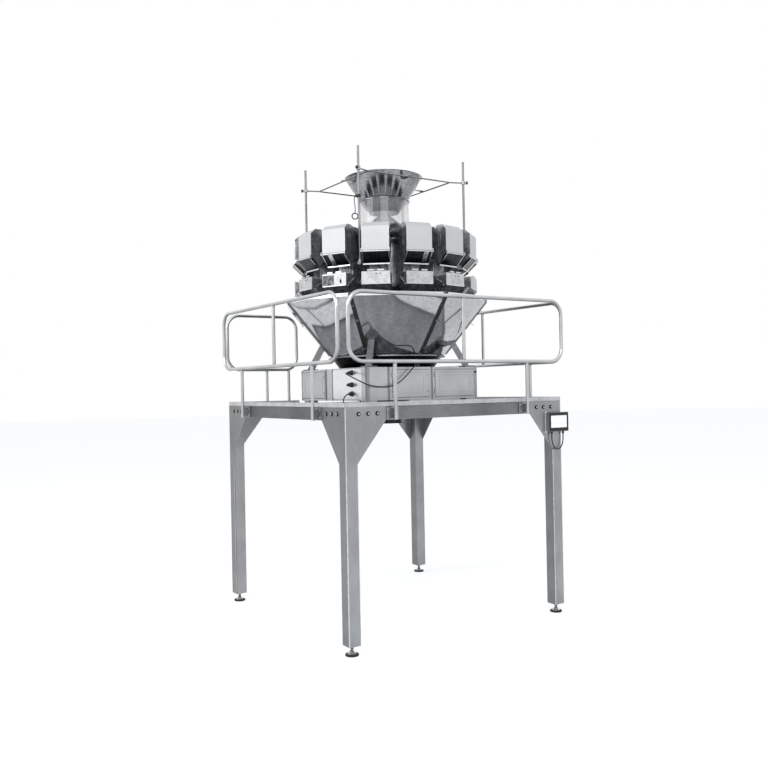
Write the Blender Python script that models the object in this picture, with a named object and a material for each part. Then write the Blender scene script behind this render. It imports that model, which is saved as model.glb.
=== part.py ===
"""Fourteen-head combination weigher standing on its steel platform.

Metres, +Z up, front at -Y, origin on the floor under the middle of the platform.
"""
import math

import bmesh
import bpy
from mathutils import Matrix, Vector

FIT = 0.0003                      # gap between pieces that touch

# Platform
PLATFORM_SIZE = 2.12
DECK_TOP = 1.80
DECK_PLATE = 0.005
BEAM_HEIGHT = 0.10
BEAM_WIDTH = 0.05
DECK_HOLE_CLEARANCE = 0.08        # round the discharge funnel
LEG_WIDTH = 0.10
LEG_BOTTOM = 0.073
GUSSET_PLATE = 0.006
GUSSET_REACH = 0.35
GUSSET_DROP = 0.31                # slanted part below the beam

# Levelling feet
FOOT_RADIUS = 0.05
FOOT_SIDES = 10
FOOT_PAD_HEIGHT = 0.022
STEM_RADIUS = 0.012
STEM_DEPTH = 0.055                # how far the stem runs up into the leg
STEM_END_GAP = 0.005
STEM_COLLAR = 0.012               # height of the swelling where the stem meets the pad
NUT_RADIUS = 0.021
NUT_HEIGHT = 0.014

# Guardrails
RAIL_TUBE_RADIUS = 0.015
RAIL_OFFSET = 0.042               # tube axis outside the platform's edge
RAIL_LOW_RISE = 0.326             # above the deck
RAIL_SPAN = 0.507
RAIL_CORNER_RADIUS = 0.12
RAIL_END_INSET = 0.015            # end upright's axis inside the platform's corner
RAIL_POST_INSET = 0.41
RAIL_GATE_POST = 0.09             # post beside the access gap
RAIL_PLATE_WIDTH = 0.11
RAIL_SPACER = 0.024
RAIL_PLATE_MARGIN = 0.012
ACCESS_WIDTH = 0.66
TUBE_SIDES = 8
PIN_SIDES = 6

# Cabinets under the weigher
BASE_SIZE = 1.12
BASE_FOOT_HEIGHT = 0.03
BASE_FOOT_SIZE = 0.09
BASE_HEIGHT = 0.27
BASE_HOLE_MARGIN = 0.014          # round the discharge funnel
DOOR_MARGIN = 0.022               # above and below a door
DOOR_FRAME = 0.022
DOOR_RAISE = 0.004
DOOR_WIDTH = 0.41
NARROW_DOOR_WIDTH = 0.359
FRONT_POST = 0.0355               # plain sheet between a door and the corner
SIDE_POST = 0.02
DOOR_SPACING = 0.0695
GLAND_RADIUS = 0.013
GLAND_LENGTH = 0.022
GLAND_INSET = 0.23                # from the cabinet's front corner
GLAND_DROPS = (0.041, 0.139, 0.213)  # below the cabinet's top
TOP_GLAND = (-0.04, 0.03)         # X, and distance behind the cabinet's front
KNOB_RADIUS = 0.009
KNOB_DROP = 0.045
KNOB_INSET = 0.014

# Four slanted struts and the ring under the drum
STRUT_INSET = 0.06                # from the cabinet's side to a strut's middle
STRUT_TOP_INSET = 0.092           # from the drum's flats to a strut's middle
STRUT_WIDTH = 0.055
STRUT_CLEARANCE = 0.004
STRUT_PLATE_SIZE = 0.10
STRUT_PLATE_HEIGHT = 0.010
STAND_RING_HEIGHT = 0.025
STAND_RING_INNER = 0.05           # inside the struts' middle
STAND_RING_OUTER = 0.06

# Chute of seven creased slides
SLIDE_COUNT = 7
CHUTE_RISE = 0.10                 # bottom edge above the cabinets
CHUTE_HEIGHT = 0.49
CHUTE_OVERHANG = 0.085            # rim outside the hoppers
CHUTE_BAND_HEIGHT = 0.028
CHUTE_BOTTOM_RADIUS = 0.51
CHUTE_FLANGE = 0.008
CHUTE_SHEET = 0.004
SEAM_WIDTH = 0.035
SEAM_RAISE = 0.006
SEAM_START = 0.015                # above the chute's bottom edge
SEAM_SINK = 0.002                 # into the slides

# Discharge funnel through the base and the deck
FUNNEL_SHEET = 0.004
FUNNEL_FLANGE_WIDTH = 0.03
FUNNEL_SEAT_WIDTH = 0.05
SPOUT_RADIUS = 0.125
SPOUT_DROP = 0.07                 # cone's end below the deck
SPOUT_LENGTH = 0.11
SPOUT_FLANGE = 0.02

# Fourteen-sided drum
HEAD_COUNT = 14
DRUM_RISE = 0.055                 # above the chute's rim
DRUM_HEIGHT = 0.405
DRUM_RADIUS = 0.45                # to its flats
DRUM_BEVEL = 0.03

# Heads: drive housing, hanging plate and hoppers
HOUSING_DEPTH = 0.175
HOUSING_WIDTH = 0.14
HOUSING_BEVEL = 0.03
HOUSING_RISE = 0.045              # above the drum's bottom
HOUSING_DROP = 0.002              # below the drum's top
BACKPLATE_WIDTH = 0.10
BACKPLATE_THICKNESS = 0.010
PLATE_LAP = 0.001                 # how far a welded plate runs into its neighbour
HOPPER_DEPTH = 0.166
HOPPER_SHEET = 0.002
HOPPER_LAP = 0.003
HOPPER_VALLEY = 0.083             # how far the two slopes drop and run in
FEED_WIDTH = 0.219
FEED_GAP = 0.171                  # between the weigh hopper's top and the feed hopper's slopes
FEED_HEIGHT = 0.230
FEED_TOP_RUN = 0.10               # level part of the side's top edge, with the bevel
FEED_BEVEL_RUN = 0.045
FEED_BEVEL_DROP = 0.039
FEED_BACK_RISE = 0.015            # back wall above the drum's top
WEIGH_WIDTH = 0.230
WEIGH_RISE = 0.015                # slopes' start above the drum's bottom
WEIGH_HEIGHT = 0.10
WEIGH_TOP_RUN = 0.08
WEIGH_BACK_DROP = 0.02

# Gates under the feed hoppers
GATE_CLEARANCE = 0.005
GATE_SHEET = 0.0025
GATE_BARREL_RADIUS = 0.0055
GATE_PIN_RADIUS = 0.004
GATE_PIN_FIT = 0.0008              # clears the pin at any angle
GATE_PIN_PROUD = 0.001
GATE_AXIS_OUT = 0.0075            # outside the hopper's front
GATE_AXIS_DROP = 0.0095           # below the front's lower edge
GATE_LIP = 0.010
CURL_STEPS = 6
EAR_THICKNESS = 0.003
EAR_HALF = 0.008                  # ear's metal round the pin
EAR_SHOULDER = 0.014
EAR_TOP = 0.028
EAR_REACH = 0.02                  # behind the hopper's front
EAR_BRIDGE = 0.002                # bridge's margin inside the ear

# Radial feeder pans on the drum's cover
COVER_PLATE = 0.012
COVER_INSET = 0.025               # inside the housings' faces
COVER_HOLE = 0.006                # round the hub
PAN_INSET = 0.02                  # inner end inside the cone's edge
PAN_OVERLAP = 0.026               # outer end over the feed hopper
PAN_START_WIDTH = 0.112
PAN_END_WIDTH = 0.18
PAN_RISE = 0.048                  # pan's floor above the drum
PAN_HEIGHT = 0.06
PAN_SHEET = 0.003
VIBRATOR_WIDTH = 0.08
VIBRATOR_START = 0.08             # from the pan's inner end
VIBRATOR_END = 0.10               # from its outer end

# Dispersion cone
CONE_RADIUS = 0.30
CONE_RISE = 0.008                 # edge above the pans
CONE_SLOPE = 0.74
CONE_TIP_RADIUS = 0.012
CONE_SHEET = 0.004
HUB_RADIUS = 0.07

# Infeed funnel, clear skirt and the rod stand that holds them
INFEED_RISE = 0.211               # throat above the cone's edge
INFEED_THROAT_HEIGHT = 0.099
INFEED_HEIGHT = 0.214
INFEED_RIM_RADIUS = 0.335
INFEED_WAIST_RADIUS = 0.205
INFEED_THROAT_RADIUS = 0.13
INFEED_SHEET = 0.003
SKIRT_RADIUS = 0.22
SKIRT_WALL = 0.005
SKIRT_CLEARANCE = 0.027           # above the cone
POST_OUTSET = 0.045               # outside the pans' ends
POST_ANGLE = 49.8                 # degrees from the front, in the gap between two heads
POST_RADIUS = 0.010
POST_PROUD = 0.11                 # above the funnel's rim
POST_FOOT_RADIUS = 0.015
POST_FOOT_HEIGHT = 0.02
ROD_RADIUS = 0.006
ROD_FRAME_OUTSET = 0.085          # outside the funnel's rim
ROD_FRAME_DROP = 0.075            # below the funnel's rim
ROD_FRAME_BEND = 0.02
TAB_WIDTH = 0.036
TAB_SHEET = 0.004
CLAMP_HEIGHT = 0.03
CLAMP_RADIUS = 0.018
ARM_WIDTH = 0.03
ARM_HEIGHT = 0.025
ARM_DROP = 0.193                  # arm's top below the drum's top
ARM_END = 0.02                    # past the post

# Operator panel on the front right leg
PANEL_WIDTH = 0.226
PANEL_HEIGHT = 0.162
PANEL_DEPTH = 0.038
PANEL_DROP = 0.183                # middle below the deck
PANEL_BEZEL = 0.016
SCREEN_RECESS = 0.002
PANEL_MOUNT_SIZE = 0.08
PANEL_MOUNT_DEPTH = 0.008
PANEL_INSET = 0.006               # from the leg's middle

# Leads
LEAD_RADIUS = 0.005
LEAD_BEND = 0.024                 # straight run out of a gland

HALF = PLATFORM_SIZE / 2
BEAM_OUTER = HALF - GUSSET_PLATE - FIT
BEAM_TOP = DECK_TOP - DECK_PLATE - FIT
BEAM_BOTTOM = BEAM_TOP - BEAM_HEIGHT
LEG_TOP = BEAM_BOTTOM - FIT
LEG_CENTRE = HALF - LEG_WIDTH / 2
RAIL_LOW = DECK_TOP + RAIL_LOW_RISE
RAIL_HIGH = RAIL_LOW + RAIL_SPAN
BASE_HALF = BASE_SIZE / 2
BASE_BOTTOM = DECK_TOP + BASE_FOOT_HEIGHT
BASE_TOP = BASE_BOTTOM + BASE_HEIGHT
STRUT_FOOT = BASE_HALF - STRUT_INSET
CHUTE_BOTTOM = BASE_TOP + CHUTE_RISE
CHUTE_TOP = CHUTE_BOTTOM + CHUTE_HEIGHT
SPOUT_TOP = DECK_TOP - SPOUT_DROP
SPOUT_BOTTOM = SPOUT_TOP - SPOUT_LENGTH
DRUM_BOTTOM = CHUTE_TOP + DRUM_RISE
DRUM_TOP = DRUM_BOTTOM + DRUM_HEIGHT
STAND_LOW = DRUM_BOTTOM - FIT - STAND_RING_HEIGHT
STAND_MIDDLE = DRUM_RADIUS - STRUT_TOP_INSET
STRUT_LEAN = (math.sqrt(2) * STRUT_FOOT - STAND_MIDDLE) / (STAND_LOW - BASE_TOP)
HEAD_STEP = 360 / HEAD_COUNT
HOUSING_REACH = DRUM_RADIUS + HOUSING_DEPTH
HOPPER_INNER = HOUSING_REACH + BACKPLATE_THICKNESS - PLATE_LAP
HOPPER_OUTER = HOPPER_INNER + HOPPER_DEPTH
WEIGH_BEND = DRUM_BOTTOM + WEIGH_RISE
WEIGH_TOP = WEIGH_BEND + WEIGH_HEIGHT
FEED_BEND = WEIGH_TOP + FEED_GAP
FEED_TOP = FEED_BEND + FEED_HEIGHT
FEED_BACK_TOP = DRUM_TOP + FEED_BACK_RISE
GATE_AXIS_RADIUS = HOPPER_OUTER + GATE_AXIS_OUT
GATE_AXIS_Z = FEED_BEND - GATE_AXIS_DROP
GATE_LENGTH = HOPPER_VALLEY * math.sqrt(2)
CHUTE_TOP_RADIUS = HOPPER_OUTER + CHUTE_OVERHANG
CHUTE_SLOPE = (CHUTE_TOP_RADIUS - CHUTE_BOTTOM_RADIUS) / (CHUTE_HEIGHT - CHUTE_BAND_HEIGHT)
PAN_START = CONE_RADIUS - PAN_INSET
PAN_END = HOPPER_INNER + PAN_OVERLAP
PAN_FLOOR = DRUM_TOP + PAN_RISE
PAN_WALL_TOP = PAN_FLOOR + PAN_HEIGHT
CONE_EDGE = PAN_WALL_TOP + CONE_RISE
INFEED_BOTTOM = CONE_EDGE + INFEED_RISE
INFEED_WAIST = INFEED_BOTTOM + INFEED_THROAT_HEIGHT
INFEED_TOP = INFEED_WAIST + INFEED_HEIGHT
SKIRT_INNER = SKIRT_RADIUS - SKIRT_WALL
SKIRT_BOTTOM = CONE_EDGE + CONE_SHEET + (CONE_RADIUS - SKIRT_INNER) * CONE_SLOPE + SKIRT_CLEARANCE
POST_CIRCLE = PAN_END + POST_OUTSET
POST_BOTTOM = DRUM_TOP - ARM_DROP
POST_TOP = INFEED_TOP + POST_PROUD
ROD_FRAME_HALF = INFEED_RIM_RADIUS + ROD_FRAME_OUTSET
ROD_FRAME_Z = INFEED_TOP - ROD_FRAME_DROP
PANEL_CENTRE_X = LEG_CENTRE - PANEL_INSET
PANEL_CENTRE_Z = DECK_TOP - PANEL_DROP


def clear_scene():
    for old in list(bpy.data.objects):
        bpy.data.objects.remove(old, do_unlink=True)


def make_material(name, colour, roughness, metallic):
    material = bpy.data.materials.new(name)
    material.use_nodes = True
    shader = material.node_tree.nodes["Principled BSDF"]
    shader.inputs["Base Color"].default_value = (*colour, 1.0)
    shader.inputs["Roughness"].default_value = roughness
    shader.inputs["Metallic"].default_value = metallic
    material.diffuse_color = (*colour, 1.0)
    return material


def new_object(name, bm):
    """Turn a bmesh into an object of the scene."""
    bmesh.ops.recalc_face_normals(bm, faces=bm.faces)
    mesh = bpy.data.meshes.new(name)
    bm.to_mesh(mesh)
    bm.free()
    obj = bpy.data.objects.new(name, mesh)
    bpy.context.scene.collection.objects.link(obj)
    return obj


def block(low, high, name="block"):
    """Box between two opposite corners."""
    bm = bmesh.new()
    size = [high[axis] - low[axis] for axis in range(3)]
    centre = [(high[axis] + low[axis]) / 2 for axis in range(3)]
    matrix = Matrix.Translation(centre) @ Matrix.Diagonal((*size, 1.0))
    bmesh.ops.create_cube(bm, size=1.0, matrix=matrix)
    return new_object(name, bm)


def extruded(outline, axis, start, end, name="extrusion"):
    """Outline in the plane across the axis, run from start to end along it."""
    bm = bmesh.new()

    def place(point, along):
        coords = list(point)
        coords.insert("XYZ".index(axis), along)
        return coords

    face = bm.faces.new([bm.verts.new(place(point, start)) for point in outline])
    grown = bmesh.ops.extrude_face_region(bm, geom=[face])
    moved = [item for item in grown["geom"] if isinstance(item, bmesh.types.BMVert)]
    shift = place((0.0, 0.0), end - start)
    bmesh.ops.translate(bm, verts=moved, vec=shift)
    return new_object(name, bm)


def turned(profile, segments, ring=False, phase=0.0, name="turning"):
    """Profile of (radius, height) points turned about the Z axis.

    A ring is a closed profile; otherwise its two ends are capped flat.
    """
    bm = bmesh.new()
    columns = []
    for step in range(segments):
        angle = math.radians(phase) + 2 * math.pi * step / segments
        column = []
        for radius, height in profile:
            column.append(bm.verts.new((radius * math.cos(angle), radius * math.sin(angle), height)))
        columns.append(column)
    count = len(profile) if ring else len(profile) - 1
    for step in range(segments):
        here = columns[step]
        after = columns[(step + 1) % segments]
        for index in range(count):
            low, high = index, (index + 1) % len(profile)
            bm.faces.new((here[low], after[low], after[high], here[high]))
    if not ring:
        bm.faces.new([column[0] for column in columns])
        bm.faces.new([column[-1] for column in columns])
    return new_object(name, bm)


def rod(start, end, radius, sides=TUBE_SIDES, name="rod"):
    """Straight round bar between two points."""
    start, end = Vector(start), Vector(end)
    along = end - start
    bm = bmesh.new()
    turn = along.to_track_quat("Z", "Y").to_matrix().to_4x4()
    matrix = Matrix.Translation((start + end) / 2) @ turn
    bmesh.ops.create_cone(bm, cap_ends=True, segments=sides, radius1=radius, radius2=radius,
                          depth=along.length, matrix=matrix)
    return new_object(name, bm)


def bent_tube(points, normal, radius, sides=TUBE_SIDES, name="tube"):
    """Closed tube loop through points that lie in one plane."""
    bm = bmesh.new()
    normal = Vector(normal).normalized()
    points = [Vector(point) for point in points]
    rings = []
    for index, point in enumerate(points):
        before = (point - points[index - 1]).normalized()
        after = (points[(index + 1) % len(points)] - point).normalized()
        tangent = (before + after).normalized()
        stretch = 1 / max(before.dot(tangent), 0.5)
        side = tangent.cross(normal)
        ring = []
        for step in range(sides):
            angle = 2 * math.pi * step / sides
            offset = side * math.cos(angle) * stretch + normal * math.sin(angle)
            ring.append(bm.verts.new(point + offset * radius))
        rings.append(ring)
    for index, ring in enumerate(rings):
        following = rings[(index + 1) % len(rings)]
        for step in range(sides):
            nearby = (step + 1) % sides
            bm.faces.new((ring[step], ring[nearby], following[nearby], following[step]))
    return new_object(name, bm)


def combine(target, tools, operation):
    """Union or cut the target with each tool in turn, then drop the tools."""
    for tool in tools:
        modifier = target.modifiers.new(operation.title(), "BOOLEAN")
        modifier.operation = operation
        modifier.solver = "EXACT"
        modifier.object = tool
    bpy.context.view_layer.update()
    depsgraph = bpy.context.evaluated_depsgraph_get()
    mesh = bpy.data.meshes.new_from_object(target.evaluated_get(depsgraph), depsgraph=depsgraph)
    target.modifiers.clear()
    target.data = mesh
    for tool in tools:
        bpy.data.objects.remove(tool, do_unlink=True)
    return target


def fuse(target, *tools):
    return combine(target, tools, "UNION")


def cut(target, *tools):
    return combine(target, tools, "DIFFERENCE")


def turn_about_axis(obj, degrees):
    """Turn a shape's own points about the weigher's axis."""
    obj.data.transform(Matrix.Rotation(math.radians(degrees), 4, "Z"))
    return obj


def named(obj, name, material, smooth=False):
    """Give a finished piece its name, material and shading."""
    obj.name = name
    obj.data.name = name
    obj.data.materials.clear()
    obj.data.materials.append(material)
    if smooth:
        obj.data.shade_smooth()
        obj.data.set_sharp_from_angle(angle=math.radians(35))
    return obj


def copied(obj, name):
    twin = obj.copy()
    twin.name = name
    bpy.context.scene.collection.objects.link(twin)
    return twin


def bearing(phi):
    """Rotation about Z that turns +X to the direction phi degrees from the front."""
    return phi - 90


def corners():
    """Signs of X and Y with a name for each corner of the platform."""
    return (("front_left", -1, -1), ("front_right", 1, -1), ("back_right", 1, 1), ("back_left", -1, 1))


def gusset_outline():
    """One face of a corner gusset: distance from the corner, height."""
    low = BEAM_BOTTOM - GUSSET_DROP
    return ((0, DECK_TOP - DECK_PLATE - FIT), (GUSSET_REACH, DECK_TOP - DECK_PLATE - FIT),
            (GUSSET_REACH, BEAM_BOTTOM), (LEG_WIDTH, low), (0, low))


def make_leg(name, sign_x, sign_y, material):
    """Square leg with the folded gusset plates that wrap the frame's corner."""
    inner = HALF - LEG_WIDTH
    tube_outer = HALF - GUSSET_PLATE / 2
    skin_top = BEAM_BOTTOM - GUSSET_DROP / 2
    leg = block((inner, inner, LEG_BOTTOM), (tube_outer, tube_outer, LEG_TOP))
    outline = gusset_outline()
    front = extruded([(HALF - run, z) for run, z in outline], "Y", HALF - GUSSET_PLATE, HALF)
    side = extruded([(HALF - run, z) for run, z in outline], "X", HALF - GUSSET_PLATE, HALF)
    skin = block((inner, HALF - GUSSET_PLATE, LEG_BOTTOM), (HALF, HALF, skin_top))
    skin_side = block((HALF - GUSSET_PLATE, inner, LEG_BOTTOM), (HALF, HALF, skin_top))
    fuse(leg, front, side, skin, skin_side)
    radius = STEM_RADIUS + FIT
    bore = turned(((radius, LEG_BOTTOM - NUT_HEIGHT), (radius, LEG_BOTTOM + STEM_DEPTH)), FOOT_SIDES)
    bore.data.transform(Matrix.Translation((LEG_CENTRE, LEG_CENTRE, 0)))
    cut(leg, bore)
    mirror_points(leg, sign_x, sign_y)
    return named(leg, f"leg_{name}", material)


def mirror_points(obj, sign_x, sign_y):
    """Mirror a shape modelled in the +X +Y corner into another corner."""
    obj.data.transform(Matrix.Diagonal((sign_x, sign_y, 1, 1)))
    if sign_x * sign_y < 0:
        obj.data.flip_normals()


def make_foot(name, sign_x, sign_y, material):
    """Levelling foot: dished pad, stem and lock nut."""
    nut_top = LEG_BOTTOM - FIT
    nut_low = nut_top - NUT_HEIGHT
    foot = turned((
        (FOOT_RADIUS, 0.0),
        (FOOT_RADIUS, FOOT_PAD_HEIGHT * 0.45),
        (FOOT_RADIUS * 0.86, FOOT_PAD_HEIGHT * 0.8),
        (STEM_RADIUS * 1.9, FOOT_PAD_HEIGHT),
        (STEM_RADIUS * 1.6, FOOT_PAD_HEIGHT + STEM_COLLAR),
        (STEM_RADIUS, FOOT_PAD_HEIGHT + STEM_COLLAR * 1.2),
        (STEM_RADIUS, LEG_BOTTOM + STEM_DEPTH - STEM_END_GAP),
    ), FOOT_SIDES)
    nut = turned(((NUT_RADIUS, nut_low), (NUT_RADIUS, nut_top)), 6)
    fuse(foot, nut)
    foot.data.transform(Matrix.Translation((LEG_CENTRE * sign_x, LEG_CENTRE * sign_y, 0)))
    return named(foot, f"foot_{name}", material, smooth=True)


def make_deck_frame(material):
    """Ring of beams with joists round the weigher's opening."""
    bar = BEAM_WIDTH
    joist = STRUT_FOOT
    frame = block((-BEAM_OUTER, -BEAM_OUTER, BEAM_BOTTOM), (BEAM_OUTER, BEAM_OUTER, BEAM_TOP))
    edges = (-BEAM_OUTER, -joist - bar / 2, joist - bar / 2, BEAM_OUTER - bar)
    holes = []
    for column in range(3):
        for row in range(3):
            low = (edges[column] + bar, edges[row] + bar, BEAM_BOTTOM - bar)
            high = (edges[column + 1], edges[row + 1], BEAM_TOP + bar)
            holes.append(block(low, high))
    cut(frame, *holes)
    return named(frame, "deck_frame", material)


def make_deck(material):
    """Chequer plate with the round hole for the discharge funnel."""
    deck = block((-HALF, -HALF, DECK_TOP - DECK_PLATE), (HALF, HALF, DECK_TOP))
    radius = funnel_radius(DECK_TOP) + FUNNEL_SHEET + DECK_HOLE_CLEARANCE
    hole = turned(((radius, BEAM_BOTTOM), (radius, BASE_BOTTOM)), 24)
    cut(deck, hole)
    return named(deck, "deck", material)


def loop_points(start, end, low, high, radius, steps=3):
    """Rounded rectangle of (along, height) points."""
    centres = ((end - radius, high - radius, 0), (start + radius, high - radius, 90),
               (start + radius, low + radius, 180), (end - radius, low + radius, 270))
    points = []
    for along, height, first in centres:
        for step in range(steps + 1):
            angle = math.radians(first + 90 * step / steps)
            points.append((along + radius * math.cos(angle), height + radius * math.sin(angle)))
    return points


def rail_plate(x, out):
    """Plate on the beam with the spacer that carries a post."""
    half = RAIL_PLATE_WIDTH / 2
    inner = -(BEAM_OUTER + FIT)
    margin = RAIL_PLATE_MARGIN
    top = BEAM_TOP - GUSSET_PLATE / 2
    plate = block((x - half, inner - GUSSET_PLATE, BEAM_BOTTOM), (x + half, inner, top))
    spacer = block((x - RAIL_SPACER / 2, out, BEAM_BOTTOM + margin),
                   (x + RAIL_SPACER / 2, inner - GUSSET_PLATE / 2, top - margin))
    return fuse(plate, spacer)


def make_rail(name, start, end, uprights, posts, side_angle, material):
    """Guardrail loop on a platform side; modelled on the front, turned to its side."""
    out = -(HALF + RAIL_OFFSET)
    corner = RAIL_CORNER_RADIUS
    points = [(along, out, z) for along, z in loop_points(start, end, RAIL_LOW, RAIL_HIGH, corner)]
    rail = bent_tube(points, (0, 1, 0), RAIL_TUBE_RADIUS)
    tube = RAIL_TUBE_RADIUS * 0.98
    tools = [rod((x, out, RAIL_LOW), (x, out, RAIL_HIGH), tube) for x in uprights]
    tools += [rod((x, out, BEAM_BOTTOM), (x, out, RAIL_LOW), tube) for x in posts]
    fuse(rail, *tools)
    fuse(rail, *[rail_plate(x, out) for x in posts])
    turn_about_axis(rail, side_angle)
    return named(rail, name, material, smooth=True)


def make_rails(material):
    reach = HALF - RAIL_END_INSET
    post = HALF - RAIL_POST_INSET
    gate = ACCESS_WIDTH / 2
    make_rail("rail_front", -reach, reach, (0,), (-post, post), 0, material)
    make_rail("rail_right", -reach, reach, (0,), (-post, post), 90, material)
    make_rail("rail_left", -reach, reach, (0,), (-post, post), -90, material)
    make_rail("rail_back_right", -reach, -gate, (), (-post, -gate - RAIL_GATE_POST), 180, material)
    make_rail("rail_back_left", gate, reach, (), (post, gate + RAIL_GATE_POST), 180, material)


def funnel_radius(z):
    """Inner radius of the discharge cone at a height."""
    top = CHUTE_BOTTOM - 2 * CHUTE_SHEET
    share = (z - SPOUT_TOP) / (top - SPOUT_TOP)
    return SPOUT_RADIUS + share * (CHUTE_BOTTOM_RADIUS - FUNNEL_FLANGE_WIDTH - SPOUT_RADIUS)


def door(left, right):
    """Raised door frame with a sunk panel on the front face of the base."""
    face = -BASE_HALF
    low, high = BASE_BOTTOM + DOOR_MARGIN, BASE_TOP - DOOR_MARGIN
    inset = DOOR_FRAME
    plate = block((left, face - DOOR_RAISE, low), (right, face + DOOR_RAISE, high))
    panel = block((left + inset, face - 2 * DOOR_RAISE, low + inset),
                  (right - inset, face - DOOR_RAISE / 2, high - inset))
    cut(plate, panel)
    return plate


def make_doors():
    """Two doors on the front and back, one on each side."""
    wide_right = BASE_HALF - FRONT_POST
    wide_left = wide_right - DOOR_WIDTH
    narrow_right = wide_left - DOOR_SPACING
    doors = []
    for side_angle in (0, 180):
        doors.append(turn_about_axis(door(narrow_right - NARROW_DOOR_WIDTH, narrow_right), side_angle))
        doors.append(turn_about_axis(door(wide_left, wide_right), side_angle))
    for side_angle in (-90, 90):
        left = SIDE_POST - BASE_HALF
        doors.append(turn_about_axis(door(left, left + DOOR_WIDTH), side_angle))
    return doors


def gland_points():
    """Mouths of the cable glands: three on the left side, one on the cabinet's top."""
    y = GLAND_INSET - BASE_HALF
    points = [Vector((-BASE_HALF - GLAND_LENGTH, y, BASE_TOP - drop)) for drop in GLAND_DROPS]
    points.append(Vector((TOP_GLAND[0], TOP_GLAND[1] - BASE_HALF, BASE_TOP + GLAND_LENGTH)))
    return points


def make_base(material):
    """Ring of control cabinets round the discharge funnel, on four feet."""
    base = block((-BASE_HALF, -BASE_HALF, BASE_BOTTOM), (BASE_HALF, BASE_HALF, BASE_TOP))
    margin = BASE_HOLE_MARGIN
    hole = turned(((funnel_radius(BASE_BOTTOM) + margin, DECK_TOP),
                   (funnel_radius(BASE_BOTTOM) + margin, BASE_BOTTOM),
                   (funnel_radius(BASE_TOP) + margin, BASE_TOP),
                   (funnel_radius(BASE_TOP) + margin, CHUTE_BOTTOM)), 20)
    cut(base, hole)
    fuse(base, *make_doors())
    fittings = []
    for point in gland_points()[:3]:
        fittings.append(rod(point, point + Vector((GLAND_LENGTH + DOOR_RAISE, 0, 0)), GLAND_RADIUS))
    top_gland = gland_points()[3]
    fittings.append(rod(top_gland, top_gland - Vector((0, 0, GLAND_LENGTH + DOOR_RAISE)), GLAND_RADIUS))
    knob = Vector((BASE_HALF - KNOB_INSET, -BASE_HALF, BASE_TOP - KNOB_DROP))
    fittings.append(rod(knob + Vector((0, DOOR_RAISE, 0)), knob - Vector((0, KNOB_RADIUS, 0)), KNOB_RADIUS))
    half = BASE_FOOT_SIZE / 2
    for _, sign_x, sign_y in corners():
        x, y = sign_x * STRUT_FOOT, sign_y * STRUT_FOOT
        low, high = DECK_TOP + FIT, BASE_BOTTOM + DOOR_RAISE
        fittings.append(block((x - half, y - half, low), (x + half, y + half, high)))
    fuse(base, *fittings)
    return named(base, "base_cabinets", material)


def strut_line(sign_x, sign_y, z):
    """Centre of a strut at a height."""
    reach = math.sqrt(2) * STRUT_FOOT - STRUT_LEAN * (z - BASE_TOP)
    return Vector((sign_x, sign_y, 0)).normalized() * reach + Vector((0, 0, z))


def strut(sign_x, sign_y, low, high, width):
    """Square strut between two heights, with level ends."""
    bm = bmesh.new()
    outward = Vector((sign_x, sign_y, 0)).normalized()
    across = Vector((-outward.y, outward.x, 0))
    rings = []
    for z in (low, high):
        centre = strut_line(sign_x, sign_y, z)
        ring = []
        for a, b in ((-1, -1), (1, -1), (1, 1), (-1, 1)):
            ring.append(bm.verts.new(centre + (outward * a + across * b) * width / 2))
        rings.append(ring)
    bm.faces.new(rings[0])
    bm.faces.new(rings[1])
    for step in range(4):
        after = (step + 1) % 4
        bm.faces.new((rings[0][step], rings[0][after], rings[1][after], rings[1][step]))
    return new_object("strut", bm)


def make_stand(material):
    """Four slanted struts that carry the drum over the base, with their ring and foot plates."""
    low = STAND_LOW
    top = low + STAND_RING_HEIGHT
    foot = BASE_TOP + FIT
    inner = STAND_MIDDLE - STAND_RING_INNER
    outer = STAND_MIDDLE + STAND_RING_OUTER
    stand = turned(((inner, low), (outer, low), (outer, top), (inner, top)), 24, ring=True)
    half = STRUT_PLATE_SIZE / 2
    tools = []
    for _, sign_x, sign_y in corners():
        leg = strut(sign_x, sign_y, foot, low + STAND_RING_HEIGHT / 2, STRUT_WIDTH)
        plate = block((-half, -half, foot), (half, half, foot + STRUT_PLATE_HEIGHT))
        plate.data.transform(Matrix.Translation((sign_x * STRUT_FOOT, sign_y * STRUT_FOOT, 0)))
        fuse(leg, plate)
        tools.append(leg)
    fuse(stand, *tools)
    return named(stand, "weigher_stand", material)


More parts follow.
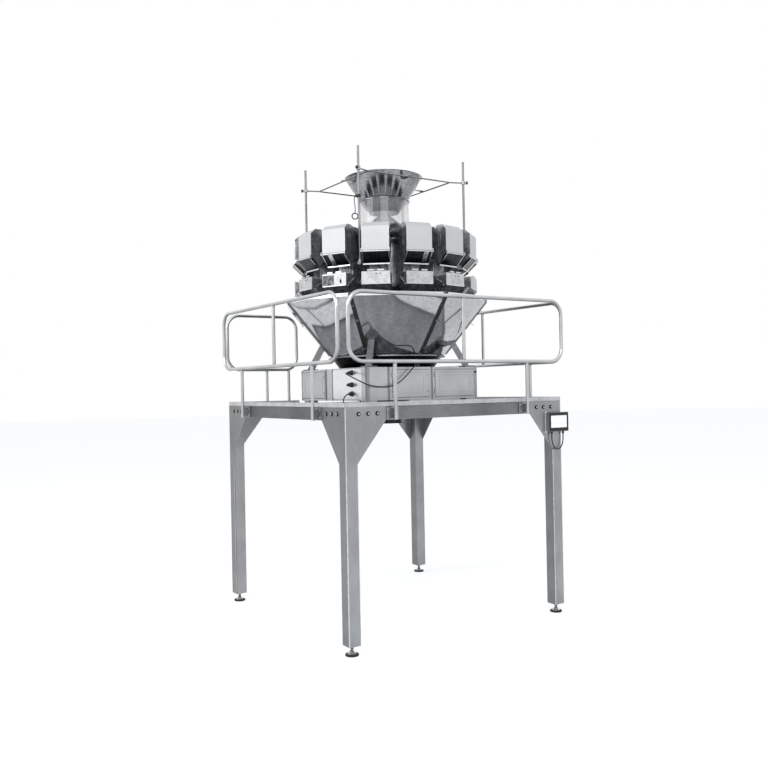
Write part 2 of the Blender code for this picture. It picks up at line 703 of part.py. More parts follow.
def make_chute(material):
    """Seven creased slides: a fourteen-sided shell with a rim band and raised seams."""
    sides = SLIDE_COUNT * 2
    sheet = CHUTE_SHEET
    band_low = CHUTE_TOP - CHUTE_BAND_HEIGHT
    flange = CHUTE_BOTTOM_RADIUS - FUNNEL_FLANGE_WIDTH
    run = sheet * 1.25
    profile = (
        (CHUTE_BOTTOM_RADIUS, CHUTE_BOTTOM),
        (CHUTE_TOP_RADIUS, band_low),
        (CHUTE_TOP_RADIUS, CHUTE_TOP),
        (CHUTE_TOP_RADIUS - sheet, CHUTE_TOP),
        (CHUTE_TOP_RADIUS - sheet, band_low + sheet * 0.4),
        (CHUTE_BOTTOM_RADIUS - run, CHUTE_BOTTOM + sheet * 0.2),
        (flange, CHUTE_BOTTOM),
        (flange, CHUTE_BOTTOM - sheet),
        (CHUTE_BOTTOM_RADIUS + CHUTE_FLANGE, CHUTE_BOTTOM - sheet),
        (CHUTE_BOTTOM_RADIUS + CHUTE_FLANGE, CHUTE_BOTTOM),
    )
    chute = turned(profile, sides, ring=True, phase=90)
    seams = []
    seam_low = CHUTE_BOTTOM + SEAM_START
    foot = CHUTE_BOTTOM_RADIUS + SEAM_START * CHUTE_SLOPE
    for index in range(SLIDE_COUNT):
        seam = extruded((
            (foot - SEAM_SINK, seam_low),
            (foot + SEAM_RAISE, seam_low),
            (CHUTE_TOP_RADIUS + SEAM_RAISE, band_low),
            (CHUTE_TOP_RADIUS + SEAM_RAISE, CHUTE_TOP - SEAM_SINK),
            (CHUTE_TOP_RADIUS - SEAM_SINK, CHUTE_TOP - SEAM_SINK),
            (CHUTE_TOP_RADIUS - SEAM_SINK, band_low),
        ), "Y", -SEAM_WIDTH / 2, SEAM_WIDTH / 2)
        seams.append(turn_about_axis(seam, bearing(index * 360 / SLIDE_COUNT)))
    fuse(chute, *seams)
    notches = []
    notch = STRUT_WIDTH + 2 * STRUT_CLEARANCE
    for _, sign_x, sign_y in corners():
        notches.append(strut(sign_x, sign_y, CHUTE_BOTTOM - CHUTE_RISE / 2, CHUTE_TOP, notch))
    cut(chute, *notches)
    return named(chute, "upper_chute", material)


def make_discharge(material):
    """Discharge funnel: bolted top flange, cone on the base's rim, spout under the deck."""
    sheet = FUNNEL_SHEET
    top = CHUTE_BOTTOM - CHUTE_SHEET - FIT
    flange_outer = CHUTE_BOTTOM_RADIUS + CHUTE_FLANGE
    cone_top = CHUTE_BOTTOM_RADIUS - FUNNEL_FLANGE_WIDTH
    seat = BASE_TOP + FIT
    seat_radius = funnel_radius(seat)
    profile = (
        (cone_top, top),
        (SPOUT_RADIUS, SPOUT_TOP),
        (SPOUT_RADIUS, SPOUT_BOTTOM),
        (SPOUT_RADIUS + SPOUT_FLANGE, SPOUT_BOTTOM),
        (SPOUT_RADIUS + SPOUT_FLANGE, SPOUT_BOTTOM + sheet),
        (SPOUT_RADIUS + sheet, SPOUT_BOTTOM + sheet),
        (SPOUT_RADIUS + sheet, SPOUT_TOP),
        (seat_radius + sheet * 1.2, seat),
        (seat_radius + FUNNEL_SEAT_WIDTH, seat),
        (seat_radius + FUNNEL_SEAT_WIDTH, seat + sheet),
        (seat_radius + sheet * 2, seat + sheet),
        (cone_top + sheet, top - sheet),
        (flange_outer, top - sheet),
        (flange_outer, top),
    )
    funnel = turned(profile, 20, ring=True)
    return named(funnel, "discharge_funnel", material, smooth=True)


def make_drum(material):
    """Fourteen-sided drum with the cone's hub and the arms that carry the funnel's posts."""
    across = math.cos(math.pi / HEAD_COUNT)
    drum = turned((((DRUM_RADIUS - DRUM_BEVEL) / across, DRUM_BOTTOM),
                   (DRUM_RADIUS / across, DRUM_BOTTOM + DRUM_BEVEL),
                   (DRUM_RADIUS / across, DRUM_TOP)), HEAD_COUNT, phase=bearing(0))
    tools = [turned(((HUB_RADIUS, DRUM_TOP - COVER_PLATE), (HUB_RADIUS, CONE_EDGE - FIT)), 20)]
    for phi in post_angles():
        arm = block((DRUM_RADIUS - DRUM_BEVEL, -ARM_WIDTH / 2, POST_BOTTOM - ARM_HEIGHT - FIT),
                    (POST_CIRCLE + ARM_END, ARM_WIDTH / 2, POST_BOTTOM - FIT))
        tools.append(turn_about_axis(arm, bearing(phi)))
    fuse(drum, *tools)
    return named(drum, "drum", material)


def post_angles():
    return (POST_ANGLE, 180 - POST_ANGLE, 180 + POST_ANGLE, 360 - POST_ANGLE)


def sector_outline(first, last, inner, outer):
    """Part of a fourteen-sided ring between two gaps of heads, kept clear of its neighbours."""
    points = []
    for radius, steps in ((outer, range(first, last + 1)), (inner, range(last, first - 1, -1))):
        for step in steps:
            angle = math.radians(bearing(step * HEAD_STEP))
            along = Vector((-math.sin(angle), math.cos(angle)))
            shift = {first: FIT / 2, last: -FIT / 2}.get(step, 0.0)
            points.append(Vector((math.cos(angle), math.sin(angle))) * radius + along * shift)
    return points


def feeder_pan(cover_top):
    """Radial feeder: a pan open at its top and outer end, on its vibrator block."""
    half_start, half_end = PAN_START_WIDTH / 2, PAN_END_WIDTH / 2
    sheet = PAN_SHEET
    pan = extruded(((PAN_START, -half_start), (PAN_END, -half_end),
                    (PAN_END, half_end), (PAN_START, half_start)), "Z", PAN_FLOOR, PAN_WALL_TOP)
    past = PAN_END + PAN_OVERLAP
    hollow = extruded(((PAN_START + sheet, sheet - half_start), (past, sheet - half_end),
                       (past, half_end - sheet), (PAN_START + sheet, half_start - sheet)),
                      "Z", PAN_FLOOR + sheet, PAN_WALL_TOP + PAN_HEIGHT)
    cut(pan, hollow)
    vibrator = block((PAN_START + VIBRATOR_START, -VIBRATOR_WIDTH / 2, cover_top - PLATE_LAP),
                     (PAN_END - VIBRATOR_END, VIBRATOR_WIDTH / 2, PAN_FLOOR + sheet / 2))
    return fuse(pan, vibrator)


def make_feeders(material):
    """Drum cover in four parts, each with its three or four radial feeders."""
    low = DRUM_TOP + FIT
    cover_top = low + COVER_PLATE
    inner = HUB_RADIUS + COVER_HOLE
    outer = HOUSING_REACH - COVER_INSET
    for name, first, last in (("front", -2, 2), ("right", 2, 5), ("back", 5, 9), ("left", 9, 12)):
        cover = extruded(sector_outline(first, last, inner, outer), "Z", low, cover_top)
        pans = []
        for step in range(first, last):
            pans.append(turn_about_axis(feeder_pan(cover_top), bearing((step + 0.5) * HEAD_STEP)))
        fuse(cover, *pans)
        named(cover, f"feeders_{name}", material)


def make_cone(material):
    """Dispersion cone, hollow below, with a hub that sits on the drum's middle."""
    height = (CONE_RADIUS - CONE_TIP_RADIUS) * CONE_SLOPE
    outer = turned(((CONE_RADIUS, CONE_EDGE), (CONE_RADIUS, CONE_EDGE + CONE_SHEET),
                    (CONE_TIP_RADIUS, CONE_EDGE + CONE_SHEET + height)), 28)
    inner = CONE_RADIUS - CONE_SHEET
    below = CONE_EDGE - CONE_RISE
    hollow = turned(((inner, below), (inner, CONE_EDGE),
                     (HUB_RADIUS, CONE_EDGE + (inner - HUB_RADIUS) * CONE_SLOPE),
                     (HUB_RADIUS, below)), 28, ring=True)
    cut(outer, hollow)
    return named(outer, "dispersion_cone", material, smooth=True)


def make_housing():
    """Drive housing against a flat of the drum, with bevelled outer edges."""
    low, high = DRUM_BOTTOM + HOUSING_RISE, DRUM_TOP - HOUSING_DROP
    inner = DRUM_RADIUS + FIT
    return extruded((
        (inner, low),
        (HOUSING_REACH - HOUSING_BEVEL, low),
        (HOUSING_REACH, low + HOUSING_BEVEL),
        (HOUSING_REACH, high - HOUSING_BEVEL),
        (HOUSING_REACH - HOUSING_BEVEL, high),
        (inner, high),
    ), "Y", -HOUSING_WIDTH / 2, HOUSING_WIDTH / 2)


def make_feed_hopper():
    """Feed hopper: open top, fixed inner slope; the outer slope is left to the gate."""
    half = FEED_WIDTH / 2
    sheet = HOPPER_SHEET
    outer = extruded((
        (HOPPER_INNER, FEED_BACK_TOP),
        (HOPPER_OUTER - FEED_TOP_RUN, FEED_TOP),
        (HOPPER_OUTER - FEED_BEVEL_RUN, FEED_TOP),
        (HOPPER_OUTER, FEED_TOP - FEED_BEVEL_DROP),
        (HOPPER_OUTER, FEED_BEND),
        (HOPPER_INNER + HOPPER_VALLEY, FEED_BEND - HOPPER_VALLEY),
        (HOPPER_INNER, FEED_BEND),
    ), "Y", -half, half)
    inner_x = HOPPER_INNER + sheet
    outer_x = HOPPER_OUTER - sheet
    slope_x = HOPPER_OUTER - FEED_BEVEL_RUN - sheet
    above = FEED_TOP + FEED_BEVEL_DROP
    below = HOPPER_VALLEY + 2 * EAR_HALF
    slope_z = FEED_BEND + sheet * math.sqrt(2)
    hollow = extruded((
        (inner_x, above),
        (slope_x, above),
        (slope_x, FEED_TOP),
        (outer_x, FEED_TOP - FEED_BEVEL_DROP),
        (outer_x, FEED_BEND - HOPPER_LAP),
        (HOPPER_OUTER + EAR_REACH, FEED_BEND - HOPPER_LAP),
        (HOPPER_OUTER + EAR_REACH, slope_z - below),
        (inner_x + below, slope_z - below),
        (inner_x, slope_z),
    ), "Y", sheet - half, half - sheet)
    cut(outer, hollow)
    return fuse(outer, gate_ear(-1), gate_ear(1))


def gate_ear(side):
    """Ear that holds one end of a gate's pin, on a bridge from the hopper's side."""
    half = FEED_WIDTH / 2
    near = half + GATE_CLEARANCE
    far = near + EAR_THICKNESS
    x, z = GATE_AXIS_RADIUS, GATE_AXIS_Z
    back = HOPPER_OUTER - EAR_REACH
    outline = ((x - EAR_HALF, z - EAR_HALF), (x + EAR_HALF, z - EAR_HALF),
               (x + EAR_HALF, z + EAR_SHOULDER), (HOPPER_OUTER, z + EAR_TOP), (back, z + EAR_TOP))
    low, high = sorted((side * near, side * far))
    ear = extruded(outline, "Y", low, high)
    low, high = sorted((side * (half - HOPPER_SHEET / 2), side * (far - EAR_THICKNESS / 2)))
    bridge = block((back + EAR_BRIDGE, low, z + EAR_SHOULDER + EAR_BRIDGE),
                   (HOPPER_OUTER - EAR_BRIDGE, high, z + EAR_TOP - EAR_BRIDGE))
    fuse(ear, bridge)
    hole_radius = GATE_PIN_RADIUS + GATE_PIN_FIT
    hole = rod((x, side * half, z), (x, side * (far + GATE_CLEARANCE), z), hole_radius, PIN_SIDES)
    return cut(ear, hole)


def make_weigh_hopper():
    """Weigh hopper, closed below."""
    half = WEIGH_WIDTH / 2
    sheet = HOPPER_SHEET
    middle = HOPPER_INNER + HOPPER_VALLEY
    outer = extruded((
        (HOPPER_INNER, WEIGH_TOP - WEIGH_BACK_DROP),
        (HOPPER_OUTER - WEIGH_TOP_RUN, WEIGH_TOP),
        (HOPPER_OUTER, WEIGH_TOP),
        (HOPPER_OUTER, WEIGH_BEND),
        (middle, WEIGH_BEND - HOPPER_VALLEY),
        (HOPPER_INNER, WEIGH_BEND),
    ), "Y", -half, half)
    above = WEIGH_TOP + WEIGH_HEIGHT
    slope_z = WEIGH_BEND + sheet * (math.sqrt(2) - 1)
    hollow = extruded((
        (HOPPER_INNER + sheet, above),
        (HOPPER_OUTER - sheet, above),
        (HOPPER_OUTER - sheet, slope_z),
        (middle, WEIGH_BEND - HOPPER_VALLEY + sheet * math.sqrt(2)),
        (HOPPER_INNER + sheet, slope_z),
    ), "Y", sheet - half, half - sheet)
    return cut(outer, hollow)


def make_heads(material):
    """Fourteen heads: drive housing, hanging plate, and a feed hopper over a weigh hopper."""
    half = BACKPLATE_WIDTH / 2
    plate_low = WEIGH_BEND + BACKPLATE_THICKNESS
    backplate = block((HOUSING_REACH - PLATE_LAP, -half, plate_low),
                      (HOUSING_REACH + BACKPLATE_THICKNESS, half, DRUM_TOP))
    head = fuse(make_housing(), backplate, make_feed_hopper(), make_weigh_hopper())
    named(head, "head_01", material)
    heads = [head]
    for index in range(1, HEAD_COUNT):
        heads.append(copied(head, f"head_{index + 1:02d}"))
    for index, obj in enumerate(heads):
        obj.rotation_euler.z = math.radians(bearing((index + 0.5) * HEAD_STEP))


def gate_outline():
    """Side of a gate about its pin: curled top edge, flat plate at 45 degrees, turned-down lip."""
    inward = Vector((-1, -1)).normalized()
    outward = Vector((1, -1)).normalized()
    inner = GATE_BARREL_RADIUS - GATE_SHEET
    meeting = math.sqrt(GATE_BARREL_RADIUS ** 2 - inner ** 2)
    first = math.radians(-45)
    sweep = 2 * math.pi - math.atan2(meeting, inner)
    points = []
    for step in range(CURL_STEPS + 1):
        angle = first + sweep * step / CURL_STEPS
        points.append(Vector((math.cos(angle), math.sin(angle))) * GATE_BARREL_RADIUS)
    edge = outward * GATE_BARREL_RADIUS + inward * GATE_LENGTH
    lip = edge + Vector((0, -GATE_LIP))
    across = Vector((-GATE_SHEET, 0))
    mitre = across * (math.sqrt(2) - 1)
    points += [outward * inner + inward * GATE_LENGTH + mitre, lip + across, lip, edge]
    return [tuple(point) for point in points]


def make_gates(material):
    """Swing gate of each feed hopper, modelled about its own hinge pin."""
    half = FEED_WIDTH / 2
    gate = extruded(gate_outline(), "Y", -half, half)
    reach = half + GATE_CLEARANCE + EAR_THICKNESS + GATE_PIN_PROUD
    fuse(gate, rod((0, -reach, 0), (0, reach, 0), GATE_PIN_RADIUS, PIN_SIDES))
    named(gate, "gate_01", material)
    gates = [gate]
    for index in range(1, HEAD_COUNT):
        gates.append(copied(gate, f"gate_{index + 1:02d}"))
    for index, obj in enumerate(gates):
        angle = math.radians(bearing((index + 0.5) * HEAD_STEP))
        obj.location = (GATE_AXIS_RADIUS * math.cos(angle), GATE_AXIS_RADIUS * math.sin(angle), GATE_AXIS_Z)
        obj.rotation_euler.z = angle


def make_infeed(material):
    """Infeed funnel with a rolled rim, and the flange that the skirt hangs from."""
    sheet = INFEED_SHEET
    hem = sheet * 2
    profile = (
        (INFEED_RIM_RADIUS, INFEED_TOP),
        (INFEED_WAIST_RADIUS, INFEED_WAIST),
        (INFEED_THROAT_RADIUS, INFEED_BOTTOM),
        (INFEED_THROAT_RADIUS + sheet, INFEED_BOTTOM),
        (INFEED_WAIST_RADIUS + sheet, INFEED_WAIST - sheet),
        (SKIRT_RADIUS + 2 * SKIRT_WALL, INFEED_WAIST - sheet),
        (SKIRT_RADIUS + 2 * SKIRT_WALL, INFEED_WAIST + sheet),
        (INFEED_WAIST_RADIUS + hem, INFEED_WAIST + sheet),
        (INFEED_RIM_RADIUS + sheet, INFEED_TOP - hem),
        (INFEED_RIM_RADIUS + sheet + hem, INFEED_TOP - hem),
        (INFEED_RIM_RADIUS + sheet + hem, INFEED_TOP),
    )
    funnel = turned(profile, 24, ring=True)
    seat = ROD_FRAME_Z + ROD_RADIUS + FIT
    flare = (INFEED_RIM_RADIUS - INFEED_WAIST_RADIUS) / INFEED_HEIGHT
    wall = INFEED_WAIST_RADIUS + (seat - INFEED_WAIST) * flare
    tabs = []
    for index in range(4):
        tab = block((wall - TAB_WIDTH, -TAB_WIDTH / 2, seat),
                    (ROD_FRAME_HALF + ROD_RADIUS, TAB_WIDTH / 2, seat + TAB_SHEET))
        bore = turned(((wall + sheet / 2, seat - TAB_SHEET), (wall + sheet / 2, seat + 2 * TAB_SHEET)), 24)
        cut(tab, bore)
        tabs.append(turn_about_axis(tab, 90 * index))
    fuse(funnel, *tabs)
    return named(funnel, "infeed_funnel", material, smooth=True)


def make_skirt(material):
    """Clear skirt round the fall of the product."""
    top = INFEED_WAIST - INFEED_SHEET - FIT
    skirt = turned(((SKIRT_RADIUS, SKIRT_BOTTOM), (SKIRT_RADIUS, top),
                    (SKIRT_INNER, top), (SKIRT_INNER, SKIRT_BOTTOM)), 28, ring=True)
    return named(skirt, "clear_skirt", material, smooth=True)


def make_funnel_stand(material):
    """Four posts, square rod frame and clamps that hold the infeed funnel."""
    half = ROD_FRAME_HALF
    z = ROD_FRAME_Z
    points = [(x, y, z) for x, y in loop_points(-half, half, -half, half, ROD_FRAME_BEND, 2)]
    frame = bent_tube(points, (0, 0, 1), ROD_RADIUS)
    tools = []
    for (_, sign_x, sign_y) in corners():
        angle = math.radians(POST_ANGLE)
        post = Vector((sign_x * math.sin(angle), sign_y * math.cos(angle), 0)) * POST_CIRCLE
        column = rod(post + Vector((0, 0, POST_BOTTOM)), post + Vector((0, 0, POST_TOP)), POST_RADIUS)
        collar = turned(((CLAMP_RADIUS, z - CLAMP_HEIGHT / 2), (CLAMP_RADIUS, z + CLAMP_HEIGHT / 2)), 8)
        collar.data.transform(Matrix.Translation(post))
        foot_top = POST_BOTTOM + POST_FOOT_HEIGHT
        foot = turned(((POST_FOOT_RADIUS, POST_BOTTOM), (POST_FOOT_RADIUS, foot_top)), 8)
        foot.data.transform(Matrix.Translation(post))
        corner = Vector((sign_x * (half - ROD_RADIUS), sign_y * (half - ROD_RADIUS), z))
        stub = rod(corner, post + Vector((0, 0, z)), ROD_RADIUS * 0.97, 6)
        fuse(column, collar, foot, stub)
        tools.append(column)
    fuse(frame, *tools)
    return named(frame, "funnel_stand", material, smooth=True)


def make_panel(material):
    """Touch screen on the front right leg, with its bracket."""
    centre = PANEL_CENTRE_X
    back = -(HALF + FIT)
    front = back - PANEL_DEPTH
    low = PANEL_CENTRE_Z - PANEL_HEIGHT / 2
    high = PANEL_CENTRE_Z + PANEL_HEIGHT / 2
    left = centre - PANEL_WIDTH / 2
    right = centre + PANEL_WIDTH / 2
    bezel = PANEL_BEZEL
    body = block((left, front, low), (right, back - PANEL_MOUNT_DEPTH, high))
    screen = block((left + bezel, front - SCREEN_RECESS, low + bezel),
                   (right - bezel, front + SCREEN_RECESS, high - bezel))
    cut(body, screen)
    half = PANEL_MOUNT_SIZE / 2
    mount = block((centre - half, back - PANEL_MOUNT_DEPTH - SCREEN_RECESS, PANEL_CENTRE_Z - half),
                  (centre + half, back, PANEL_CENTRE_Z + half))
    fuse(body, mount)
    return named(body, "operator_panel", material)


def smooth_points(route, spacing):
    """Points at a steady spacing on a smooth curve through the route; its two end runs stay straight."""
    route = [Vector(point) for point in route]
    fine = []
    for index in range(1, len(route) - 2):
        a, b, c, d = route[index - 1:index + 3]
        for step in range(16):
            t = step / 16
            fine.append((b * 2 + (c - a) * t + (a * 2 - b * 5 + c * 4 - d) * t ** 2
                         + (b * 3 - a - c * 3 + d) * t ** 3) / 2)
    points = [route[0], fine[0]]
    travelled = 0.0
    for before, after in zip(fine, fine[1:]):
        travelled += (after - before).length
        if travelled >= spacing:
            points.append(after)
            travelled = 0.0
    if travelled < spacing / 2:
        points.pop()
    return points + [route[-2], route[-1]]


def make_lead(name, route, radius, material):
    """Round lead along a route."""
    points = smooth_points(route, radius * 6)
    curve = bpy.data.curves.new(name, "CURVE")
    curve.dimensions = "3D"
    curve.bevel_depth = radius
    curve.bevel_resolution = 2
    curve.use_fill_caps = True
    spline = curve.splines.new("POLY")
    spline.points.add(len(points) - 1)
    for item, point in zip(spline.points, points):
        item.co = (*point, 1.0)
    curve.materials.append(material)
    lead = bpy.data.objects.new(name, curve)
    bpy.context.scene.collection.objects.link(lead)
    return lead


def make_leads(material):
    """Leads that hang from the cabinet and the operator panel."""
    side = gland_points()
    deck = DECK_TOP + LEAD_RADIUS + FIT
    out = Vector((1, 0, 0))
    up = Vector((0, 0, 1))
    make_lead("cabinet_lead", (
        side[0] - out * FIT, side[0] - out * LEAD_BEND, (-0.632, -0.355, 2.052), (-0.648, -0.43, 2.036),
        (-0.655, -0.52, 2.012), (-0.635, -0.59, 1.984), (-0.585, -0.605, 1.96), (-0.50, -0.602, 1.943),
        (-0.41, -0.60, 1.938), (-0.33, -0.60, 1.95), (-0.268, -0.60, 1.98), (-0.215, -0.60, 2.02),
        (-0.165, -0.60, 2.065), (-0.122, -0.598, 2.106), (-0.085, -0.585, 2.145),
        (-0.058, -0.556, 2.166), side[3] + up * LEAD_BEND, side[3] + up * FIT), LEAD_RADIUS, material)
    make_lead("deck_lead", (
        side[2] - out * FIT, side[2] - out * LEAD_BEND / 2, (-0.612, -0.325, 1.879), (-0.627, -0.312, 1.858),
        (-0.634, -0.31, 1.832), (-0.641, -0.33, 1.814), (-0.645, -0.365, deck + 0.0005),
        (-0.638, -0.40, deck), (-0.618, -0.428, deck), (-0.588, -0.438, deck),
        (-0.556, -0.426, deck), (-0.528, -0.40, deck), (-0.506, -0.37, deck + 0.002),
        (-0.494, -0.35, deck + 0.009), (-0.49, -0.343, BASE_BOTTOM - LEAD_BEND / 3),
        (-0.49, -0.343, BASE_BOTTOM - FIT),
    ), LEAD_RADIUS, material)
    x, z = PANEL_CENTRE_X, PANEL_CENTRE_Z - PANEL_HEIGHT / 2 - FIT
    y = -(HALF + PANEL_DEPTH / 2 + FIT)
    make_lead("panel_lead", (
        (x - 0.068, y, z), (x - 0.068, y, z - 0.03), (x - 0.067, y, z - 0.065),
        (x - 0.058, y, z - 0.105), (x - 0.034, y, z - 0.137), (x - 0.002, y, z - 0.149),
        (x + 0.030, y, z - 0.137), (x + 0.052, y, z - 0.105), (x + 0.061, y, z - 0.065),
        (x + 0.062, y, z - 0.03), (x + 0.062, y, z)), LEAD_RADIUS, material)


def build():
    clear_scene()
    satin = make_material("satin_stainless", (0.42, 0.43, 0.44), 0.35, 1.0)
    mirror = make_material("mirror_stainless", (0.66, 0.67, 0.68), 0.12, 1.0)
    painted = make_material("grey_enamel", (0.30, 0.31, 0.32), 0.45, 0.0)
    rubber = make_material("black_rubber", (0.02, 0.02, 0.02), 0.7, 0.0)
    clear = make_material("clear_acrylic", (0.85, 0.88, 0.90), 0.08, 0.0)
    for name, sign_x, sign_y in corners():
        make_leg(name, sign_x, sign_y, satin)
        make_foot(name, sign_x, sign_y, rubber)
    make_deck_frame(satin)
    make_deck(satin)
    make_rails(satin)
    make_base(satin)
    make_stand(satin)
    make_chute(mirror)
    make_discharge(mirror)
    make_drum(painted)
    make_feeders(mirror)
    make_cone(mirror)
    make_heads(mirror)
    make_gates(satin)
    make_infeed(mirror)
    make_skirt(clear)
    make_funnel_stand(satin)
    make_panel(rubber)
    make_leads(rubber)


build()
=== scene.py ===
import math

import bmesh
import bpy
from mathutils import Matrix, Vector


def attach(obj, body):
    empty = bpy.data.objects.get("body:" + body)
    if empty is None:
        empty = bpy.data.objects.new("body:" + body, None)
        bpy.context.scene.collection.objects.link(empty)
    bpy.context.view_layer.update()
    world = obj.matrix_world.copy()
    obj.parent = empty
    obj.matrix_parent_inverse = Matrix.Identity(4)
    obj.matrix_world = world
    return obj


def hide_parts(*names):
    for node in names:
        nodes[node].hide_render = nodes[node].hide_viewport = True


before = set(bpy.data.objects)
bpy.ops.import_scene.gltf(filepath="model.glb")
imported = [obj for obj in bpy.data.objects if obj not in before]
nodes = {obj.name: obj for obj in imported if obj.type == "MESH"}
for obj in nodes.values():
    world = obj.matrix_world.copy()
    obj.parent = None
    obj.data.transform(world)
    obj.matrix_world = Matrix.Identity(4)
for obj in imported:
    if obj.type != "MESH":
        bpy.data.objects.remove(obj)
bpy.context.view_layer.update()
still = Matrix.Identity(4)      # for shapes that stay where they are modelled
print("frame loaded:", len(nodes), "nodes")


# small helpers for colours and materials

def hexColour(text):
    channels = []
    for start in (0, 2, 4):
        value = int(text[start:start + 2], 16) / 255
        channels.append(value / 12.92 if value <= 0.04045 else ((value + 0.055) / 1.055) ** 2.4)
    return (*channels, 1.0)


def addNode(material, kind, values=None, links=None, **settings):
    # one shader node with its sockets' values, its links and its settings
    node = material.node_tree.nodes.new("ShaderNode" + kind)
    for key, value in settings.items():
        setattr(node, key, value)
    for key, value in (values or {}).items():
        node.inputs[key].default_value = value
    for key, source in (links or {}).items():
        material.node_tree.links.new(source, node.inputs[key])
    return node


def newMaterial(name, **values):
    material = bpy.data.materials.new(name)
    material.use_nodes = True
    shader = material.node_tree.nodes["Principled BSDF"]
    for key, value in values.items():
        shader.inputs[key.replace("_", " ")].default_value = value
    return material, shader


def joinNodes(material, source, target):
    material.node_tree.links.new(source, target)


sheetLook = {
    "tones": (0.78, 1.22),      # the two noises together, at the dark and the light end
    "markDepth": 0.0002,
    "markStrength": 0.10,
    "waveWidth": 260,           # mm from one swell of the sheet to the next
    "waveStrength": 0.6,
    "underStart": 0.2,          # faces that look up more than this get no painted shade below
}


def sheetMetal(name, light, dark, roughness, grain, cloud, wave=0.0, spread=0.08, metallic=1.0,
               across=0.0, under=0.0):
    # stainless sheet: light and dark are the two ends of its tone, grain the size of its finest marks in mm
    # along X, Y and Z, cloud the size of its slow changes of tone, wave how far the sheet is out of flat,
    # across how far painted shade darkens its left and right faces,
    # under how far painted shade darkens it underneath
    look = sheetLook
    material, shader = newMaterial(name, Metallic=metallic, Roughness=roughness)
    where = addNode(material, "TexCoord").outputs["Object"]
    scale = [1000 / size for size in grain]      # one mark per real size
    stretched = addNode(material, "Mapping", {"Scale": scale}, {"Vector": where})
    marks = addNode(material, "TexNoise", {"Scale": 1.0, "Detail": 3.0},
                    {"Vector": stretched.outputs[0]}).outputs["Fac"]
    clouds = addNode(material, "TexNoise", {"Scale": 1000 / cloud, "Detail": 2.0},
                     {"Vector": where}).outputs["Fac"]
    both = addNode(material, "Math", {}, {0: marks, 1: clouds})
    tone = addNode(material, "MapRange", dict(zip(("From Min", "From Max"), look["tones"])),
                   {"Value": both.outputs[0]})
    colour = addNode(material, "MixRGB", {"Color1": hexColour(dark), "Color2": hexColour(light)},
                     {"Fac": tone.outputs[0]})
    # painted shade: left and right faces and undersides darkened in the colour
    if across or under:
        facing = addNode(material, "TexCoord").outputs["Normal"]
        sides = addNode(material, "SeparateXYZ", {}, {0: facing})
        amount = addNode(material, "Math", {}, {0: sides.outputs["X"]}, operation="ABSOLUTE")
        paintedSideShade = addNode(material, "MapRange", {"To Min": 1.0, "To Max": 1.0 - across},
                       {"Value": amount.outputs[0]})
        below = addNode(material, "MapRange", {"From Min": look["underStart"], "From Max": -1.0,
                                               "To Min": 1.0, "To Max": 1.0 - under},
                        {"Value": sides.outputs["Z"]})
        for shade in (paintedSideShade, below):
            colour = addNode(material, "VectorMath", {}, {0: colour.outputs[0], 1: shade.outputs[0]},
                             operation="MULTIPLY")
    joinNodes(material, colour.outputs[0], shader.inputs["Base Color"])
    rough = addNode(material, "MapRange",
                    {"To Min": roughness + spread, "To Max": roughness - spread / 2}, {"Value": marks})
    joinNodes(material, rough.outputs[0], shader.inputs["Roughness"])
    bump = addNode(material, "Bump", {"Strength": look["markStrength"], "Distance": look["markDepth"]},
                   {"Height": marks})
    if wave:
        slow = addNode(material, "TexNoise", {"Scale": 1000 / look["waveWidth"], "Detail": 1.0},
                       {"Vector": where})
        bump = addNode(material, "Bump", {"Strength": look["waveStrength"], "Distance": wave},
                       {"Height": slow.outputs["Fac"], "Normal": bump.outputs[0]})
    joinNodes(material, bump.outputs[0], shader.inputs["Normal"])
    return material


def moulded(name, tone, roughness, pit, metallic=0.0):
    # moulded or cast parts: pit is the size of the mould's grain in mm, drawn coarse enough to show
    material, shader = newMaterial(name, Metallic=metallic, Roughness=roughness)
    shader.inputs["Base Color"].default_value = hexColour(tone)
    where = addNode(material, "TexCoord").outputs["Object"]
    grain = addNode(material, "TexNoise", {"Scale": 1000 / pit, "Detail": 2.0},
                    {"Vector": where}).outputs["Fac"]
    rough = addNode(material, "MapRange", {"To Min": roughness - 0.08, "To Max": roughness + 0.1},
                    {"Value": grain})
    joinNodes(material, rough.outputs[0], shader.inputs["Roughness"])
    bump = addNode(material, "Bump", {"Strength": 0.25, "Distance": 0.0002}, {"Height": grain})
    joinNodes(material, bump.outputs[0], shader.inputs["Normal"])
    return material


# belt-brushed 304 stainless of the platform: even mid grey, soft sheen, upright grain on the legs; painted
# shade darkens its left and right faces
legSteel = sheetMetal("brushed_stainless_upright", "a6a8aa", "929497", 0.34, (1.6, 1.6, 90), 240,
                      metallic=0.8, across=0.38)
# the same steel with its grain along the beams, darker all over, with painted shade on its left and right
# faces
beamSteel = sheetMetal("brushed_stainless_level", "86888b", "6c6e71", 0.36, (90, 90, 1.6), 300,
                       metallic=0.9, across=0.3)
# struts under the drum: ground and polished, they take the shade of what stands round them
strutSteel = sheetMetal("ground_stainless_strut", "8c8e91", "6c6e71", 0.2, (2, 2, 60), 160)
# drawn round tube, polished: bright above, grey below with painted shade
tubeSteel = sheetMetal("polished_tube_stainless", "d6d8da", "c0c2c4", 0.16, (2, 2, 60), 180, under=0.75)
# rods and posts over the drum: thinner, duller bar, with painted shade on its left and right faces and
# underneath
rodSteel = sheetMetal("drawn_bar_stainless", "a8aaad", "8a8c8f", 0.24, (2, 2, 60), 120,
                      across=0.3, under=0.75)
# cabinet sheet, fine-brushed: pale, with slow changes of tone
cabinetSteel = sheetMetal("fine_brushed_cabinet_sheet", "c8cacd", "b6b8bb", 0.3, (70, 70, 1.4), 210,
                          metallic=0.8)
# plate round the cable glands and the chute's rim band: buffed nearly white
glandPlate = sheetMetal("buffed_stainless_plate", "f4f5f6", "e6e8ea", 0.24, (2, 2, 40), 120, metallic=0.85)
